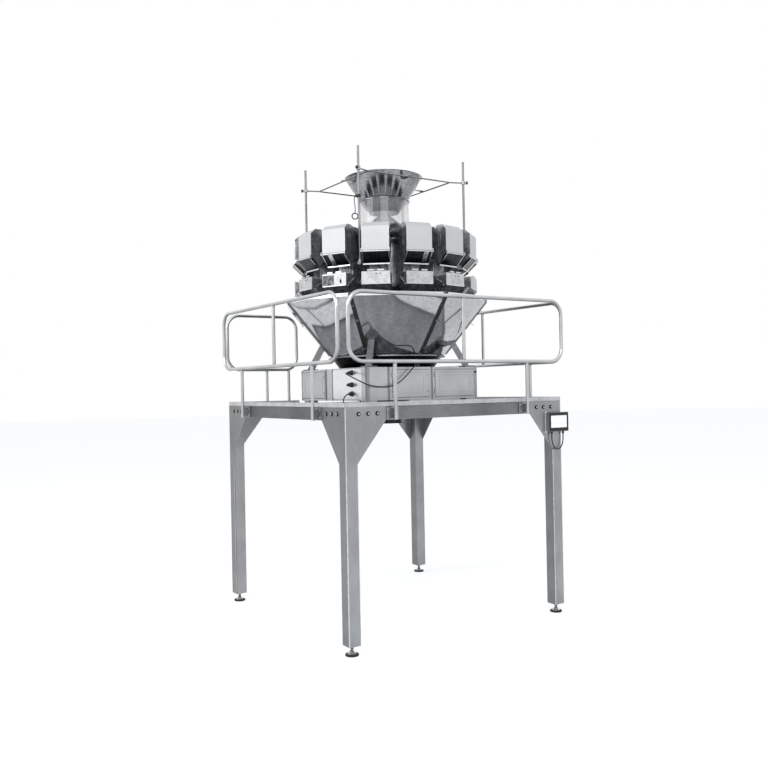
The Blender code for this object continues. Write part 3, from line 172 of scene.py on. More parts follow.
# hopper sheet, bead-blasted pale: even and bright at every angle
hopperSheet = sheetMetal("bead_blasted_stainless", "e0e2e3", "d8dadc", 0.5, (1.5, 1.5, 1.5), 160,
                         metallic=0.4)
# embossed weigh-hopper sheet: shallow dimples, drawn about 22 mm apart so that they show
weighSheet = sheetMetal("dimpled_stainless", "dadcdd", "babcbe", 0.36, (22, 22, 16), 60, 0.0006,
                        metallic=0.65)
# the chute's slides, mirror-rolled: they show the deck and the room, broken up by the sheet's own ripple
slideSteel = sheetMetal("mirror_rolled_stainless", "b8babd", "a0a2a5", 0.06, (30, 30, 24), 300, 0.0012, 0.03)
# polished cone and infeed funnel: clear dark and bright bands round them, partly reflected and partly painted
# into the tone as reflections
turnedSteel = sheetMetal("mirror_turned_stainless", "9c9ea1", "76787b", 0.12, (60, 60, 9), 120, 0.001, 0.04)
# drive housings: rolled sheet, streaked light and dark with painted glints and shade for the light that comes
# between the hoppers
housingSteel = sheetMetal("rolled_stainless_housing", "c2c4c7", "66686b", 0.3, (24, 24, 24), 60, 0.0012, 0.06,
                          metallic=0.45)
# cabinets' tops, pans' walls, wear plates: polished sheet darkened with painted shade, its pale glints
# painted too
shadedSteel = sheetMetal("dark_polished_stainless", "7e8083", "424347", 0.3, (24, 24, 24), 60, 0.0012, 0.06,
                         metallic=0.6)
# gates and the cone under the chute: the same sheet, darkened with painted shade of what stands over them
gateSteel = sheetMetal("shaded_gate_sheet", "383a3d", "222325", 0.26, (12, 12, 12), 60, 0.0006, 0.06,
                       metallic=0.9)
# hopper cheeks, drum and chute clips: left polished; on the cheeks and drum its darker tone is painted shade
# of the narrow gaps they face
cheekSteel = sheetMetal("polished_stainless_cheek", "a2a4a7", "6c6e71", 0.22, (26, 26, 30), 70, 0.0015, 0.05,
                        metallic=0.65)
# edges, lips, hooks and links: bright buffed strip; along the legs' corners and the cheeks' front edges it is
# laid as a painted highlight
edgeSteel = sheetMetal("bright_edge_stainless", "e0e2e4", "c4c6c8", 0.22, (2, 2, 20), 50)
# steel screws and bolts, zinc plated: a coarse mottle from bright to dark, painted highlight and shade
boltSteel = sheetMetal("zinc_plated_steel", "cfd1d4", "6e7074", 0.2, (5, 5, 5), 15)
# chequer plate: duller rolled steel, scuffed
treadSteel = sheetMetal("rolled_chequer_plate", "dcdee0", "bcbec1", 0.42, (8, 8, 8), 150, metallic=0.4)
# seams between the slides and round the doors: extruded rubber strip, flat black
seamRubber = moulded("black_epdm_strip", "131314", 0.6, 1.5)
# leads: rubber jacket, near black with a soft line of light along it
leadRubber = moulded("black_rubber_jacket", "141415", 0.5, 1.2)
# foot pads: moulded nitrile, greyer and dull
padRubber = moulded("nitrile_foot_pad", "2a2a2c", 0.72, 2.5)
# glands, plugs, knobs and the screen's bezel: moulded nylon, black with small soft highlights
blackNylon = moulded("glass_filled_black_nylon", "121213", 0.4, 0.8)
# the screen's case: die-cast and anodised, an even silver grey
caseAlloy = moulded("anodised_aluminium_case", "84878b", 0.42, 1.0, 0.8)

# clear skirt: cast acrylic, faintly white where light grazes its edge
clearAcrylic, acrylicShader = newMaterial("clear_cast_acrylic", Roughness=0.06, IOR=1.49)
acrylicShader.inputs["Base Color"].default_value = hexColour("f8f9fa")
acrylicShader.inputs["Transmission Weight"].default_value = 0.93
hazeWhere = addNode(clearAcrylic, "TexCoord").outputs["Object"]
hazeNoise = addNode(clearAcrylic, "TexNoise", {"Scale": 1000 / 70, "Detail": 2.0}, {"Vector": hazeWhere})
haze = addNode(clearAcrylic, "MapRange", {"To Min": 0.03, "To Max": 0.16},
               {"Value": hazeNoise.outputs["Fac"]})
joinNodes(clearAcrylic, haze.outputs[0], acrylicShader.inputs["Roughness"])

# touch screen, lit: a plain pale page with faint bands
screenGlass, screenShader = newMaterial("lit_touch_screen", Roughness=0.12)
screenWhere = addNode(screenGlass, "TexCoord").outputs["Object"]
screenBands = addNode(screenGlass, "TexWave", {"Scale": 1000 / 160, "Distortion": 0.4},
                      {"Vector": screenWhere}, wave_type="BANDS", bands_direction="Z")
screenTones = {"Color1": hexColour("e6edf2"), "Color2": hexColour("fafcff")}
screenTone = addNode(screenGlass, "MixRGB", screenTones, {"Fac": screenBands.outputs["Fac"]})
joinNodes(screenGlass, screenTone.outputs[0], screenShader.inputs["Base Color"])
joinNodes(screenGlass, screenTone.outputs[0], screenShader.inputs["Emission Color"])
screenShader.inputs["Emission Strength"].default_value = 0.55
print("materials ready")


# sizes, turns and circles

def sizesOf(table, names):
    return [table[name] for name in names.split()]


def turned(degrees):
    return Matrix.Rotation(math.radians(degrees), 4, "Z")


def headPlace(bearing):
    # a head is modelled on +X and turned to its bearing from the front
    return turned(bearing - 90)


def circlePoints(count, start=0.0):
    # cosine and sine of evenly spaced angles
    angles = [2 * math.pi * (step + start) / count for step in range(count)]
    return [(math.cos(angle), math.sin(angle)) for angle in angles]


# shapes: each adds a closed body to a bmesh, moved by a matrix

def addFaces(bm, points, faces, matrix=still):
    verts = [bm.verts.new(matrix @ Vector(point)) for point in points]
    for face in faces:
        bm.faces.new([verts[index] for index in face])


def addBox(bm, low, high, matrix=still):
    xs, ys, zs = zip(low, high)
    faces = ((0, 1, 3, 2), (4, 6, 7, 5), (0, 4, 5, 1), (2, 3, 7, 6), (0, 2, 6, 4), (1, 5, 7, 3))
    addFaces(bm, [(x, y, z) for x in xs for y in ys for z in zs], faces, matrix)


def addPrism(bm, outline, start, end, matrix=still):
    # outline of (x, z) points run along Y
    count = len(outline)
    points = [(x, start, z) for x, z in outline] + [(x, end, z) for x, z in outline]
    faces = [tuple(range(count)), tuple(range(2 * count - 1, count - 1, -1))]
    faces += [(i, (i + 1) % count, count + (i + 1) % count, count + i) for i in range(count)]
    addFaces(bm, points, faces, matrix)


def addStrip(bm, path, thickness, start, end, matrix=still):
    # sheet folded along a path of (x, z) points; its thickness lies to the left of the path
    path = [Vector(point) for point in path]
    inner = []
    for index, point in enumerate(path):
        before = (point - path[index - 1]).normalized() if index else None
        after = (path[index + 1] - point).normalized() if index < len(path) - 1 else None
        along = ((before or after) + (after or before)).normalized()
        side = Vector((-along.y, along.x))
        stretch = 1 / max(0.4, along.dot(before or after))
        inner.append(point + side * thickness * stretch)
    addPrism(bm, [tuple(p) for p in path] + [tuple(p) for p in reversed(inner)], start, end, matrix)


def addLathe(bm, profile, segments, matrix=still, ring=False, phase=0.0):
    # profile of (radius, height) points turned about Z; a ring has a hole along its axis
    count = len(profile)
    points = []
    for step in range(segments):
        angle = math.radians(phase) + 2 * math.pi * step / segments
        points += [(r * math.cos(angle), r * math.sin(angle), z) for r, z in profile]
    faces = []
    for step in range(segments):
        here, after = step * count, (step + 1) % segments * count
        for index in range(count if ring else count - 1):
            nextIndex = (index + 1) % count
            faces.append((here + index, after + index, after + nextIndex, here + nextIndex))
    if not ring:
        faces.append(tuple(step * count for step in range(segments)))
        faces.append(tuple(step * count + count - 1 for step in reversed(range(segments))))
    addFaces(bm, points, faces, matrix)


def aim(start, direction):
    # matrix that turns +Z to a direction at a point
    return Matrix.Translation(start) @ Vector(direction).to_track_quat("Z", "Y").to_matrix().to_4x4()


def addRod(bm, start, end, radius, matrix=still, segments=20, chamfer=0.0):
    start, end = Vector(start), Vector(end)
    length = (end - start).length
    profile = [(radius, 0), (radius, length)]
    if chamfer:
        small = radius - chamfer
        profile = [(small, 0), (radius, chamfer), (radius, length - chamfer), (small, length)]
    addLathe(bm, profile, segments, matrix @ aim(start, end - start))


def addTube(bm, points, radius, closed=False, segments=20, matrix=still):
    # round bar swept along points
    points = [Vector(point) for point in points]
    count = len(points)
    rings = []
    side = None
    for index, point in enumerate(points):
        before = points[index - 1] if index or closed else point
        after = points[(index + 1) % count] if index < count - 1 or closed else point
        tangent = (after - before).normalized()
        if side is None:
            side = tangent.orthogonal().normalized()
        side = (side - tangent * side.dot(tangent)).normalized()
        up = tangent.cross(side)
        rings.append([point + (side * c + up * s) * radius for c, s in circlePoints(segments)])
    faces = []
    for index in range(count if closed else count - 1):
        here, after = index * segments, (index + 1) % count * segments
        faces += [(here + s, here + (s + 1) % segments, after + (s + 1) % segments, after + s)
                  for s in range(segments)]
    if not closed:
        faces.append(tuple(reversed(range(segments))))
        faces.append(tuple((count - 1) * segments + s for s in range(segments)))
    addFaces(bm, [tuple(p) for ring in rings for p in ring], faces, matrix)


def addBolt(bm, point, direction, across, matrix=still, washers=None):
    # hexagon head with its washer, standing on a face; sizes as shares of the width across it
    turn = matrix @ aim(point, direction)
    washer, head = ((1.05, 0), (1.05, 0.16)), ((0.58, 0.16), (0.58, 0.62), (0.48, 0.74))
    addLathe(washers or bm, [(across * r, across * z) for r, z in washer], 24, turn)
    addLathe(bm, [(across * r, across * z) for r, z in head], 6, turn)


def addScrew(bm, point, direction, radius, matrix=still):
    # round-headed machine screw; its dome as shares of the radius
    dome = ((1, 0), (1, 0.25), (0.8, 0.5), (0.35, 0.62))
    addLathe(bm, [(radius * r, radius * z) for r, z in dome], 16, matrix @ aim(point, direction))


def newPiece(name, bm, material, body="weigher", replaced=(), edge=0.0, sharp=35):
    bmesh.ops.recalc_face_normals(bm, faces=bm.faces)
    mesh = bpy.data.meshes.new(name)
    bm.to_mesh(mesh)
    bm.free()
    mesh.materials.append(material)
    mesh.shade_smooth()
    mesh.set_sharp_from_angle(angle=math.radians(sharp))
    piece = bpy.data.objects.new(name, mesh)
    bpy.context.scene.collection.objects.link(piece)
    if edge:
        bevel = piece.modifiers.new("soft edge", "BEVEL")
        bevel.width = edge
        bevel.segments = 2
        bevel.limit_method = "ANGLE"
        bevel.angle_limit = math.radians(40)
        weighted = piece.modifiers.new("even shading", "WEIGHTED_NORMAL")
        weighted.keep_sharp = True
    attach(piece, body)
    if replaced:
        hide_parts(*replaced)
    return piece


def dressedCopy(name, source, material, edge, body="weigher"):
    # the frame's own piece again, with flat faces made whole and its edges softened
    bm = bmesh.new()
    bm.from_mesh(nodes[source].data)
    bmesh.ops.remove_doubles(bm, verts=bm.verts, dist=0.00002)
    bmesh.ops.dissolve_limit(bm, angle_limit=math.radians(0.5), verts=bm.verts, edges=bm.edges)
    return newPiece(name, bm, material, body, (source,), edge)


def paintShade(piece, material, test):
    # painted shade: a second, darker material on the faces that the test picks
    piece.data.materials.append(material)
    for face in piece.data.polygons:
        if test(face):
            face.material_index = 1


# camera: the photograph's own viewpoint, fitted to the platform's corners

view = {
    "place": (-4.1502, -6.3524, 1.9290),
    "turn": 32.931,       # degrees from +Y towards +X
    "tilt": 0.276,
    "roll": -1.110,
    "lens": 40.07,
}


def makeCamera():
    turn, tilt, roll = (math.radians(angle) for angle in sizesOf(view, "turn tilt roll"))
    right = Vector((math.cos(turn), -math.sin(turn), 0))
    ahead = Vector((math.sin(turn), math.cos(turn), 0)) * math.cos(tilt) + Vector((0, 0, math.sin(tilt)))
    up = right.cross(ahead)
    side = right * math.cos(roll) + up * math.sin(roll)
    top = up * math.cos(roll) - right * math.sin(roll)
    data = bpy.data.cameras.new("camera")
    data.lens = view["lens"]
    data.sensor_width = 36
    camera = bpy.data.objects.new("camera", data)
    bpy.context.scene.collection.objects.link(camera)
    axes = Matrix((side, top, -ahead)).transposed().to_4x4()
    camera.matrix_world = Matrix.Translation(view["place"]) @ axes
    bpy.context.scene.camera = camera


leadSizes = {
    "radius": 0.005,
    "spacing": 0.012,
    "cabinet": [(-0.5823, -0.33, 2.059), (-0.606, -0.33, 2.059), (-0.632, -0.355, 2.052),
                (-0.648, -0.43, 2.036), (-0.655, -0.52, 2.012), (-0.635, -0.59, 1.984),
                (-0.585, -0.605, 1.96), (-0.50, -0.602, 1.943), (-0.41, -0.60, 1.938),
                (-0.33, -0.60, 1.95), (-0.268, -0.60, 1.98), (-0.215, -0.60, 2.02),
                (-0.165, -0.60, 2.065), (-0.122, -0.598, 2.106), (-0.085, -0.585, 2.145),
                (-0.058, -0.556, 2.166), (-0.04, -0.53, 2.146), (-0.04, -0.53, 2.1223)],
    "deck": [(-0.5823, -0.33, 1.887), (-0.594, -0.33, 1.887), (-0.612, -0.325, 1.879),
             (-0.627, -0.312, 1.858), (-0.634, -0.31, 1.832), (-0.641, -0.33, 1.814),
             (-0.645, -0.365, 1.8058), (-0.638, -0.40, 1.8053), (-0.618, -0.428, 1.8053),
             (-0.588, -0.438, 1.8053), (-0.556, -0.426, 1.8053), (-0.528, -0.40, 1.8053),
             (-0.506, -0.37, 1.8073), (-0.494, -0.35, 1.8143), (-0.49, -0.343, 1.822),
             (-0.49, -0.343, 1.8297)],
    "panelMiddle": (1.004, -1.0793, 1.5357),
    "panel": [(-0.068, 0), (-0.068, -0.03), (-0.067, -0.065), (-0.058, -0.105), (-0.034, -0.137),
              (-0.002, -0.149), (0.030, -0.137), (0.052, -0.105), (0.061, -0.065), (0.062, -0.03),
              (0.062, 0)],
    # glands: mouth, direction and length of the boot
    "cabinetGlands": (((-0.582, -0.33, 2.059), (-1, 0, 0), 0.022), ((-0.04, -0.53, 2.122), (0, 0, 1), 0.02)),
    "deckGlands": (((-0.582, -0.33, 1.887), (-1, 0, 0), 0.013),),
    "plug": [(0.0062, -0.020), (0.0092, -0.018), (0.0105, -0.010), (0.0105, -0.002), (0.0115, 0.0),
             (0.0115, 0.0025)],
}
gland = {
    "length": 0.022,
    "nut": [(0.0245, -0.0008), (0.0245, 0.006), (0.023, 0.0075)],
    "dome": [(0.0178, 0.006), (0.0178, 0.015), (0.0152, 0.019), (0.0112, 0.0218), (0.0062, 0.0222)],
    "boot": (0.0156, 0.0140, 0.0072),       # radius at the dome, halfway and at the tip
    "ribs": 10,
    "rib": ((0.0166, -0.0014, 0.0078), (0.0190, 0.0014, 0.0148)),
}


def smoothRoute(route, spacing, finePoints=16):
    # one smooth curve through the route's points, then points along it at even spacing
    route = [Vector(point) for point in route]
    fine = []
    for index in range(1, len(route) - 2):
        a, b, c, d = route[index - 1:index + 3]
        for step in range(finePoints):
            t = step / finePoints
            fine.append((b * 2 + (c - a) * t + (a * 2 - b * 5 + c * 4 - d) * t ** 2
                         + (b * 3 - a - c * 3 + d) * t ** 3) / 2)
    points = [route[0], fine[0]]
    travelled = 0.0
    for before, after in zip(fine, fine[1:]):
        travelled += (after - before).length
        if travelled >= spacing:
            points.append(after)
            travelled = 0.0
    if travelled < spacing / 2:
        points.pop()
    return points + [route[-2], route[-1]]


def addGland(bm, mouth, direction, boot):
    # cable gland: lock nut, ribbed dome with its mouth at the lead's end, and a tapered boot along the lead
    length = gland["length"]
    turn = aim(Vector(mouth) - Vector(direction) * length, direction)
    addLathe(bm, gland["nut"], 6, turn)
    addLathe(bm, gland["dome"], 40, turn)
    heights = (length, length + boot * 0.5, length + boot)
    addLathe(bm, list(zip(gland["boot"], heights)), 40, turn)
    for step in range(gland["ribs"]):
        addBox(bm, *gland["rib"], turn @ turned(360 / gland["ribs"] * step))


def makeLead(name, route, node):
    points = smoothRoute(route, leadSizes["spacing"])
    curve = bpy.data.curves.new(name, "CURVE")
    curve.dimensions = "3D"
    curve.bevel_depth = leadSizes["radius"]
    curve.bevel_resolution = 5
    curve.use_fill_caps = True
    spline = curve.splines.new("POLY")
    spline.points.add(len(points) - 1)
    for item, point in zip(spline.points, points):
        item.co = (*point, 1.0)
    spline.use_smooth = True
    curve.materials.append(leadRubber)
    lead = bpy.data.objects.new(name, curve)
    bpy.context.scene.collection.objects.link(lead)
    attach(lead, "weigher")
    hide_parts(node)


def makeLeads():
    for end, pieces in (("cabinet", "cabinet_lead_glands"), ("deck", "deck_lead_gland")):
        bm = bmesh.new()
        for mouth, direction, boot in leadSizes[end + "Glands"]:
            addGland(bm, mouth, direction, boot)
        glands = newPiece(pieces, bm, blackNylon)
        makeLead(end + "_supply_lead", leadSizes[end], end + "_lead")
    x, y, z = leadSizes["panelMiddle"]
    loop = [(x + dx, y, z + dz) for dx, dz in leadSizes["panel"]]
    bm = bmesh.new()
    for end in (loop[0], loop[-1]):
        addLathe(bm, leadSizes["plug"], 32, Matrix.Translation(end))
    plugs = newPiece("screen_plugs", bm, blackNylon)
    makeLead("screen_lead", loop, "panel_lead")


makeCamera()
makeLeads()
print("camera and leads placed")


# legs, feet and platform

platform = {
    "half": 1.06,
    "deckTop": 1.80,
    "beamTop": 1.7947,
    "beamBottom": 1.6947,
    "legMiddle": 1.01,
    "legBottom": 0.074,
    "legWidth": 0.10,
    "gussetLow": 1.38,
    "gussetBolts": (0.275, 0.195, 0.113),       # distances from the corner
    "gussetBoltHeight": 1.745,
    "boltAcross": 0.016,
    "edgeWidth": 0.005,          # painted highlight strips along the corners of the legs' tubes
    "edgeProud": 0.0003,
    "access": 0.33,              # half the gap in the deck's folded edge at the back
    "toeHeight": 0.0285,
    "toeSheet": 0.003,
    "plainMiddle": 0.545,        # no tread under the cabinets
    "tearLength": 0.030,
    "tearWidth": 0.008,
    "tearHeight": 0.0016,
    "tearStep": 0.034,
}
foot = {
    "pad": [(0.046, 0), (0.05, 0.003), (0.05, 0.011), (0.047, 0.0145), (0.040, 0.0165), (0.020, 0.0175)],
    "cone": [(0.034, 0.0165), (0.033, 0.0185), (0.025, 0.0205), (0.0205, 0.025), (0.019, 0.031),
             (0.0155, 0.0345), (0.0118, 0.0365)],
    "nut": [(0.0185, 0.0588), (0.0208, 0.0602), (0.0208, 0.0713), (0.0185, 0.0726)],
    "thread": (0.0118, 0.0106, 0.002),      # crest, root and pitch
    "threadSpan": (0.0365, 0.120),
}
cornerSigns = (("front_left", -1, -1), ("front_right", 1, -1), ("back_right", 1, 1), ("back_left", -1, 1))


def makeLegHighlights(corner, sx, sy):
    # painted highlights: bright strips laid along the corners of each leg and its gussets
    half, wide, proud = sizesOf(platform, "half edgeWidth edgeProud")
    far = half - platform["legWidth"]
    low = platform["legBottom"]
    bm = bmesh.new()
    for x, y, top in ((half, half, platform["beamTop"] - 0.006), (far, half, platform["gussetLow"]),
                      (half, far, platform["gussetLow"])):
        x0, x1 = sorted((sx * x, sx * (x - wide if x == half else x + wide)))
        y0, y1 = sorted((sy * y, sy * (y - wide if y == half else y + wide)))
        addBox(bm, (x0 - proud * (sx < 0) * (x == half), y0 - proud * (sy < 0), low),
               (x1 + proud * (sx > 0), y1 + proud * (sy > 0), top))
    newPiece("leg_highlights_" + corner, bm, edgeSteel)


def makeFoot(corner, sx, sy):
    middle = Matrix.Translation((sx * platform["legMiddle"], sy * platform["legMiddle"], 0))
    bm = bmesh.new()
    addLathe(bm, foot["pad"], 56, middle)
    newPiece("foot_pad_" + corner, bm, padRubber, replaced=("foot_" + corner,))
    bm = bmesh.new()
    addLathe(bm, foot["cone"], 56, middle)
    crest, root, pitch = foot["thread"]
    height, top = foot["threadSpan"]
    thread = [(root + 0.0006, height - 0.0025)]
    while height < top:
        thread += [(crest, height), (root, height + pitch / 2)]
        height += pitch
    addLathe(bm, thread, 40, middle)
    addLathe(bm, foot["nut"], 6, middle)
    newPiece("foot_stem_" + corner, bm, boltSteel, sharp=25)


def makeLegs():
    half, z, across = sizesOf(platform, "half gussetBoltHeight boltAcross")
    for corner, sx, sy in cornerSigns:
        dressedCopy("leg_tube_" + corner, "leg_" + corner, legSteel, 0.0025)
        bm, washers = bmesh.new(), bmesh.new()
        for run in platform["gussetBolts"]:
            addBolt(bm, (sx * (half - run), sy * half, z), (0, sy, 0), across, still, washers)
            addBolt(bm, (sx * half, sy * (half - run), z), (sx, 0, 0), across, still, washers)
        newPiece("gusset_bolts_" + corner, bm, boltSteel)
        # washers in the dark gate sheet: painted shade round each bolt head
        newPiece("gusset_washers_" + corner, washers, gateSteel)
        makeLegHighlights(corner, sx, sy)
        makeFoot(corner, sx, sy)


def makeDeck():
    dressedCopy("platform_beams", "deck_frame", beamSteel, 0.003)
    dressedCopy("deck_sheet", "deck", treadSteel, 0.0012)
    half, gap, top = sizesOf(platform, "half access deckTop")
    low, high, inner = top - 0.0005, top + platform["toeHeight"], platform["toeSheet"] - half
    whole = ((-half, half),)
    bm = bmesh.new()
    for angle, spans in ((0, whole), (90, whole), (-90, whole), (180, ((-half, -gap), (gap, half)))):
        for start, end in spans:      # folded edge round the deck
            addBox(bm, (start, -half, low), (end, inner, high), turned(angle))
    newPiece("deck_toe_edge", bm, treadSteel, edge=0.0008)
    half = half - 0.02
    count = int(2 * half / platform["tearStep"])
    length, width, height = sizesOf(platform, "tearLength tearWidth tearHeight")
    tear = [(-length / 2, 0, 0), (-length / 5, -width / 2, 0), (length / 5, -width / 2, 0),
            (length / 2, 0, 0), (length / 5, width / 2, 0), (-length / 5, width / 2, 0),
            (-length / 3.4, 0, height), (length / 3.4, 0, height)]
    faces = ((0, 1, 6), (1, 2, 7, 6), (2, 3, 7), (3, 4, 7), (4, 5, 6, 7), (5, 0, 6), (5, 4, 3, 2, 1, 0))
    places = [-half + (step + 0.5) * 2 * half / count for step in range(count)]
    bm = bmesh.new()
    for row, y in enumerate(places):
        for column, x in enumerate(places):
            if max(abs(x), abs(y)) >= platform["plainMiddle"]:
                spin = turned(45 if (row + column) % 2 else -45)
                addFaces(bm, tear, faces, Matrix.Translation((x, y, top - 0.0001)) @ spin)
    newPiece("deck_tread_pattern", bm, treadSteel, sharp=20)


makeLegs()
makeDeck()
print("legs and deck built")


# guardrails: bent tube loops on bolted plates

rails = {
    "axis": 1.102,
    "low": 2.126,
    "high": 2.633,
    "tube": 0.015,
    "upright": 0.01395,          # uprights and feet are a size thinner
    "corner": 0.12,
    "reach": 1.045,
    "post": 0.65,
    "gate": 0.33,
    "gatePost": 0.42,
    "plateFace": 1.054,          # inner side of the plates, on the beam
    "plateWidth": 0.11,
    "plateSheet": 0.006,
    "plateBolt": (0.017, 0.022),        # in from the plate's edges
    "spacer": 0.024,
    "spacerShort": 0.012,
    "boltAcross": 0.011,
}


def roundedLoop(start, end, low, high, radius, steps=14):
    centres = ((end - radius, high - radius, 0), (start + radius, high - radius, 90),
               (start + radius, low + radius, 180), (end - radius, low + radius, 270))
    points = []
    for along, height, first in centres:
        for step in range(steps + 1):
            angle = math.radians(first + 90 * step / steps)
            points.append((along + radius * math.cos(angle), height + radius * math.sin(angle)))
    return points


def makeRail(name, start, end, uprights, posts, angle):
    turn = turned(angle)
    out, inner, sheet = -rails["axis"], -rails["plateFace"], rails["plateSheet"]
    tube, thin = sizesOf(rails, "tube upright")
    bottom, top = sizesOf(rails, "low high")
    low, high = platform["beamBottom"], platform["beamTop"] - 0.003
    bm = bmesh.new()
    loop = roundedLoop(start, end, bottom, top, rails["corner"])
    addTube(bm, [(x, out, z) for x, z in loop], tube, True, 24, turn)
    for x in uprights:
        addRod(bm, (x, out, bottom), (x, out, top), thin, turn, 24)
    for x in posts:
        addRod(bm, (x, out, low), (x, out, bottom), thin, turn, 24, 0.001)
    newPiece(name + "_tube", bm, tubeSteel, replaced=(name,))
    bm = bmesh.new()
    bead = [(tube * 0.9, -0.003), (tube * 0.995, -0.001), (tube * 0.995, 0.001), (tube * 0.9, 0.003)]
    for x in uprights:      # weld beads
        for z in (bottom + tube * 1.1, top - tube * 1.1):
            addLathe(bm, bead, 24, turn @ Matrix.Translation((x, out, z)))
    half, spacer, short = rails["plateWidth"] / 2, rails["spacer"] / 2, rails["spacerShort"]
    for x in posts:
        addLathe(bm, bead, 24, turn @ Matrix.Translation((x, out, bottom - tube * 1.1)))
        addBox(bm, (x - half, inner - sheet, low), (x + half, inner, high), turn)
        addBox(bm, (x - spacer, out, low + short), (x + spacer, inner - 0.003, high - short), turn)
    newPiece(name + "_plates", bm, legSteel, edge=0.001)
    bm = bmesh.new()
    across, inset = rails["plateBolt"]
    for x in posts:
        for side in (-1, 1):
            for z in (low + inset, high - inset):
                place = (x + side * (half - across), inner - sheet, z)
                addBolt(bm, place, (0, -1, 0), rails["boltAcross"], turn)
    newPiece(name + "_bolts", bm, boltSteel)


def makeRails():
    reach, post, gate, gatePost = sizesOf(rails, "reach post gate gatePost")
    for name, angle in (("rail_front", 0), ("rail_right", 90), ("rail_left", -90)):
        makeRail(name, -reach, reach, (0,), (-post, post), angle)
    makeRail("rail_back_right", -reach, -gate, (), (-post, -gatePost), 180)
    makeRail("rail_back_left", gate, reach, (), (post, gatePost), 180)


makeRails()
print("guardrails built")


# cabinets under the weigher, with their doors, glands and knob

cabinet = {
    "half": 0.56,
    "bottom": 1.83,
    "top": 2.10,
    "doors": ((-0.314, 0.045), (0.1145, 0.5245)),    # narrow and wide door on the front
    "sideDoor": (-0.54, -0.13),
    "doorLow": 1.852,
    "doorHigh": 2.078,
    "doorGap": 0.0035,
    "innerInset": 0.043,         # pressed line inside the door's panel
    "line": (0.008, 0.0022),     # width and rise
    "lockInset": 0.045,          # hinges and locks, from the door's top and bottom
    "hinge": (0.005, 0.02, 0.004),                   # radius, half length, out from the sheet
    "lock": (0.0065, 0.0035, 0.0075),                # radius, and where its head starts and ends
    "lockBar": (0.0015, 0.004, 0.007, 0.0088),       # half width and height, and its own start and end
    "lockSide": 0.011,
    "plate": (-0.475, -0.014, 1.842, 2.090),         # bright plate round the glands: Y and Z
    "plateSheet": 0.0018,
    "plateScrew": 0.012,
    "spareGland": (-0.582, -0.33, 1.961),
    "knobAt": (0.546, -0.56, 2.055),
    "knob": [(0.004, 0.0108), (0.0082, 0.0102), (0.0094, 0.0085), (0.0094, 0.0035), (0.0062, 0.003),
             (0.0062, -0.001)],
    "joints": ((-0.352, 0.08), (-0.105, 0.012)),     # front and back, then left and right
    "jointHalf": 0.0125,
    "slitHalf": 0.0016,
    "postWidth": 0.024,
}


def pressedLine(bm, left, right, low, high, out, width, rise, matrix):
    # rounded frame pressed up out of a sheet on the front face
    inLow, inHigh = low + width, high - width
    for x0, x1, z0, z1 in ((left, right, low, inLow), (left, right, inHigh, high),
                           (left, left + width, inLow, inHigh), (right - width, right, inLow, inHigh)):
        addBox(bm, (x0, out - rise, z0), (x1, out + 0.001, z1), matrix)


def makeDoors():
    half, low, high = sizesOf(cabinet, "half doorLow doorHigh")
    inset, gap, lock = sizesOf(cabinet, "innerInset doorGap lockInset")
    hinge, hingeHalf, hingeOut = cabinet["hinge"]
    radius, headIn, headOut = cabinet["lock"]
    barWide, barHigh, barIn, barOut = cabinet["lockBar"]
    lines, gaps, locks, hinges = (bmesh.new() for _ in range(4))
    doors = [(angle, span) for angle in (0, 180) for span in cabinet["doors"]]
    doors += [(angle, cabinet["sideDoor"]) for angle in (-90, 90)]
    for angle, (left, right) in doors:
        turn = turned(angle)
        pressedLine(lines, left + inset, right - inset, low + inset * 0.9, high - inset * 0.9, -half - 0.002,
                    *cabinet["line"], turn)
        pressedLine(gaps, left - gap, right + gap, low - gap, high + gap, -half, gap, 0.0006, turn)
        for z in (low + lock, high - lock):
            x, y = left - hingeOut, -half - hingeOut
            addRod(hinges, (x, y, z - hingeHalf), (x, y, z + hingeHalf), hinge, turn, 16, 0.001)
            x = right - cabinet["lockSide"]
            addRod(locks, (x, -half - headIn, z), (x, -half - headOut, z), radius, turn, 24, 0.001)
            bar = ((x - barWide, -half - barOut, z - barHigh), (x + barWide, -half - barIn, z + barHigh))
            addBox(locks, *bar, turn)
    newPiece("cabinet_door_lines", lines, cabinetSteel, edge=0.0006)
    newPiece("cabinet_door_gaps", gaps, seamRubber)
    newPiece("cabinet_locks", locks, boltSteel)
    newPiece("cabinet_hinges", hinges, boltSteel)


def makeGlandPlate():
    half, inset = sizesOf(cabinet, "half plateScrew")
    front = -half - cabinet["plateSheet"]
    low, high, bottom, top = cabinet["plate"]
    bm = bmesh.new()
    addBox(bm, (front, low, bottom), (-half + 0.001, high, top))
    newPiece("gland_plate", bm, glandPlate, edge=0.0008)
    bm = bmesh.new()
    for y in (low + inset, high - inset):
        for z in (bottom + inset, top - inset):
            addScrew(bm, (front, y, z), (-1, 0, 0), 0.004)
    newPiece("gland_plate_screws", bm, boltSteel)
    bm = bmesh.new()
    addGland(bm, cabinet["spareGland"], (-1, 0, 0), 0.03)       # no lead in it, its boot closed
    newPiece("spare_gland", bm, blackNylon)
    bm = bmesh.new()
    addLathe(bm, cabinet["knob"], 40, aim(cabinet["knobAt"], (0, -1, 0)))
    newPiece("cabinet_knob", bm, blackNylon)


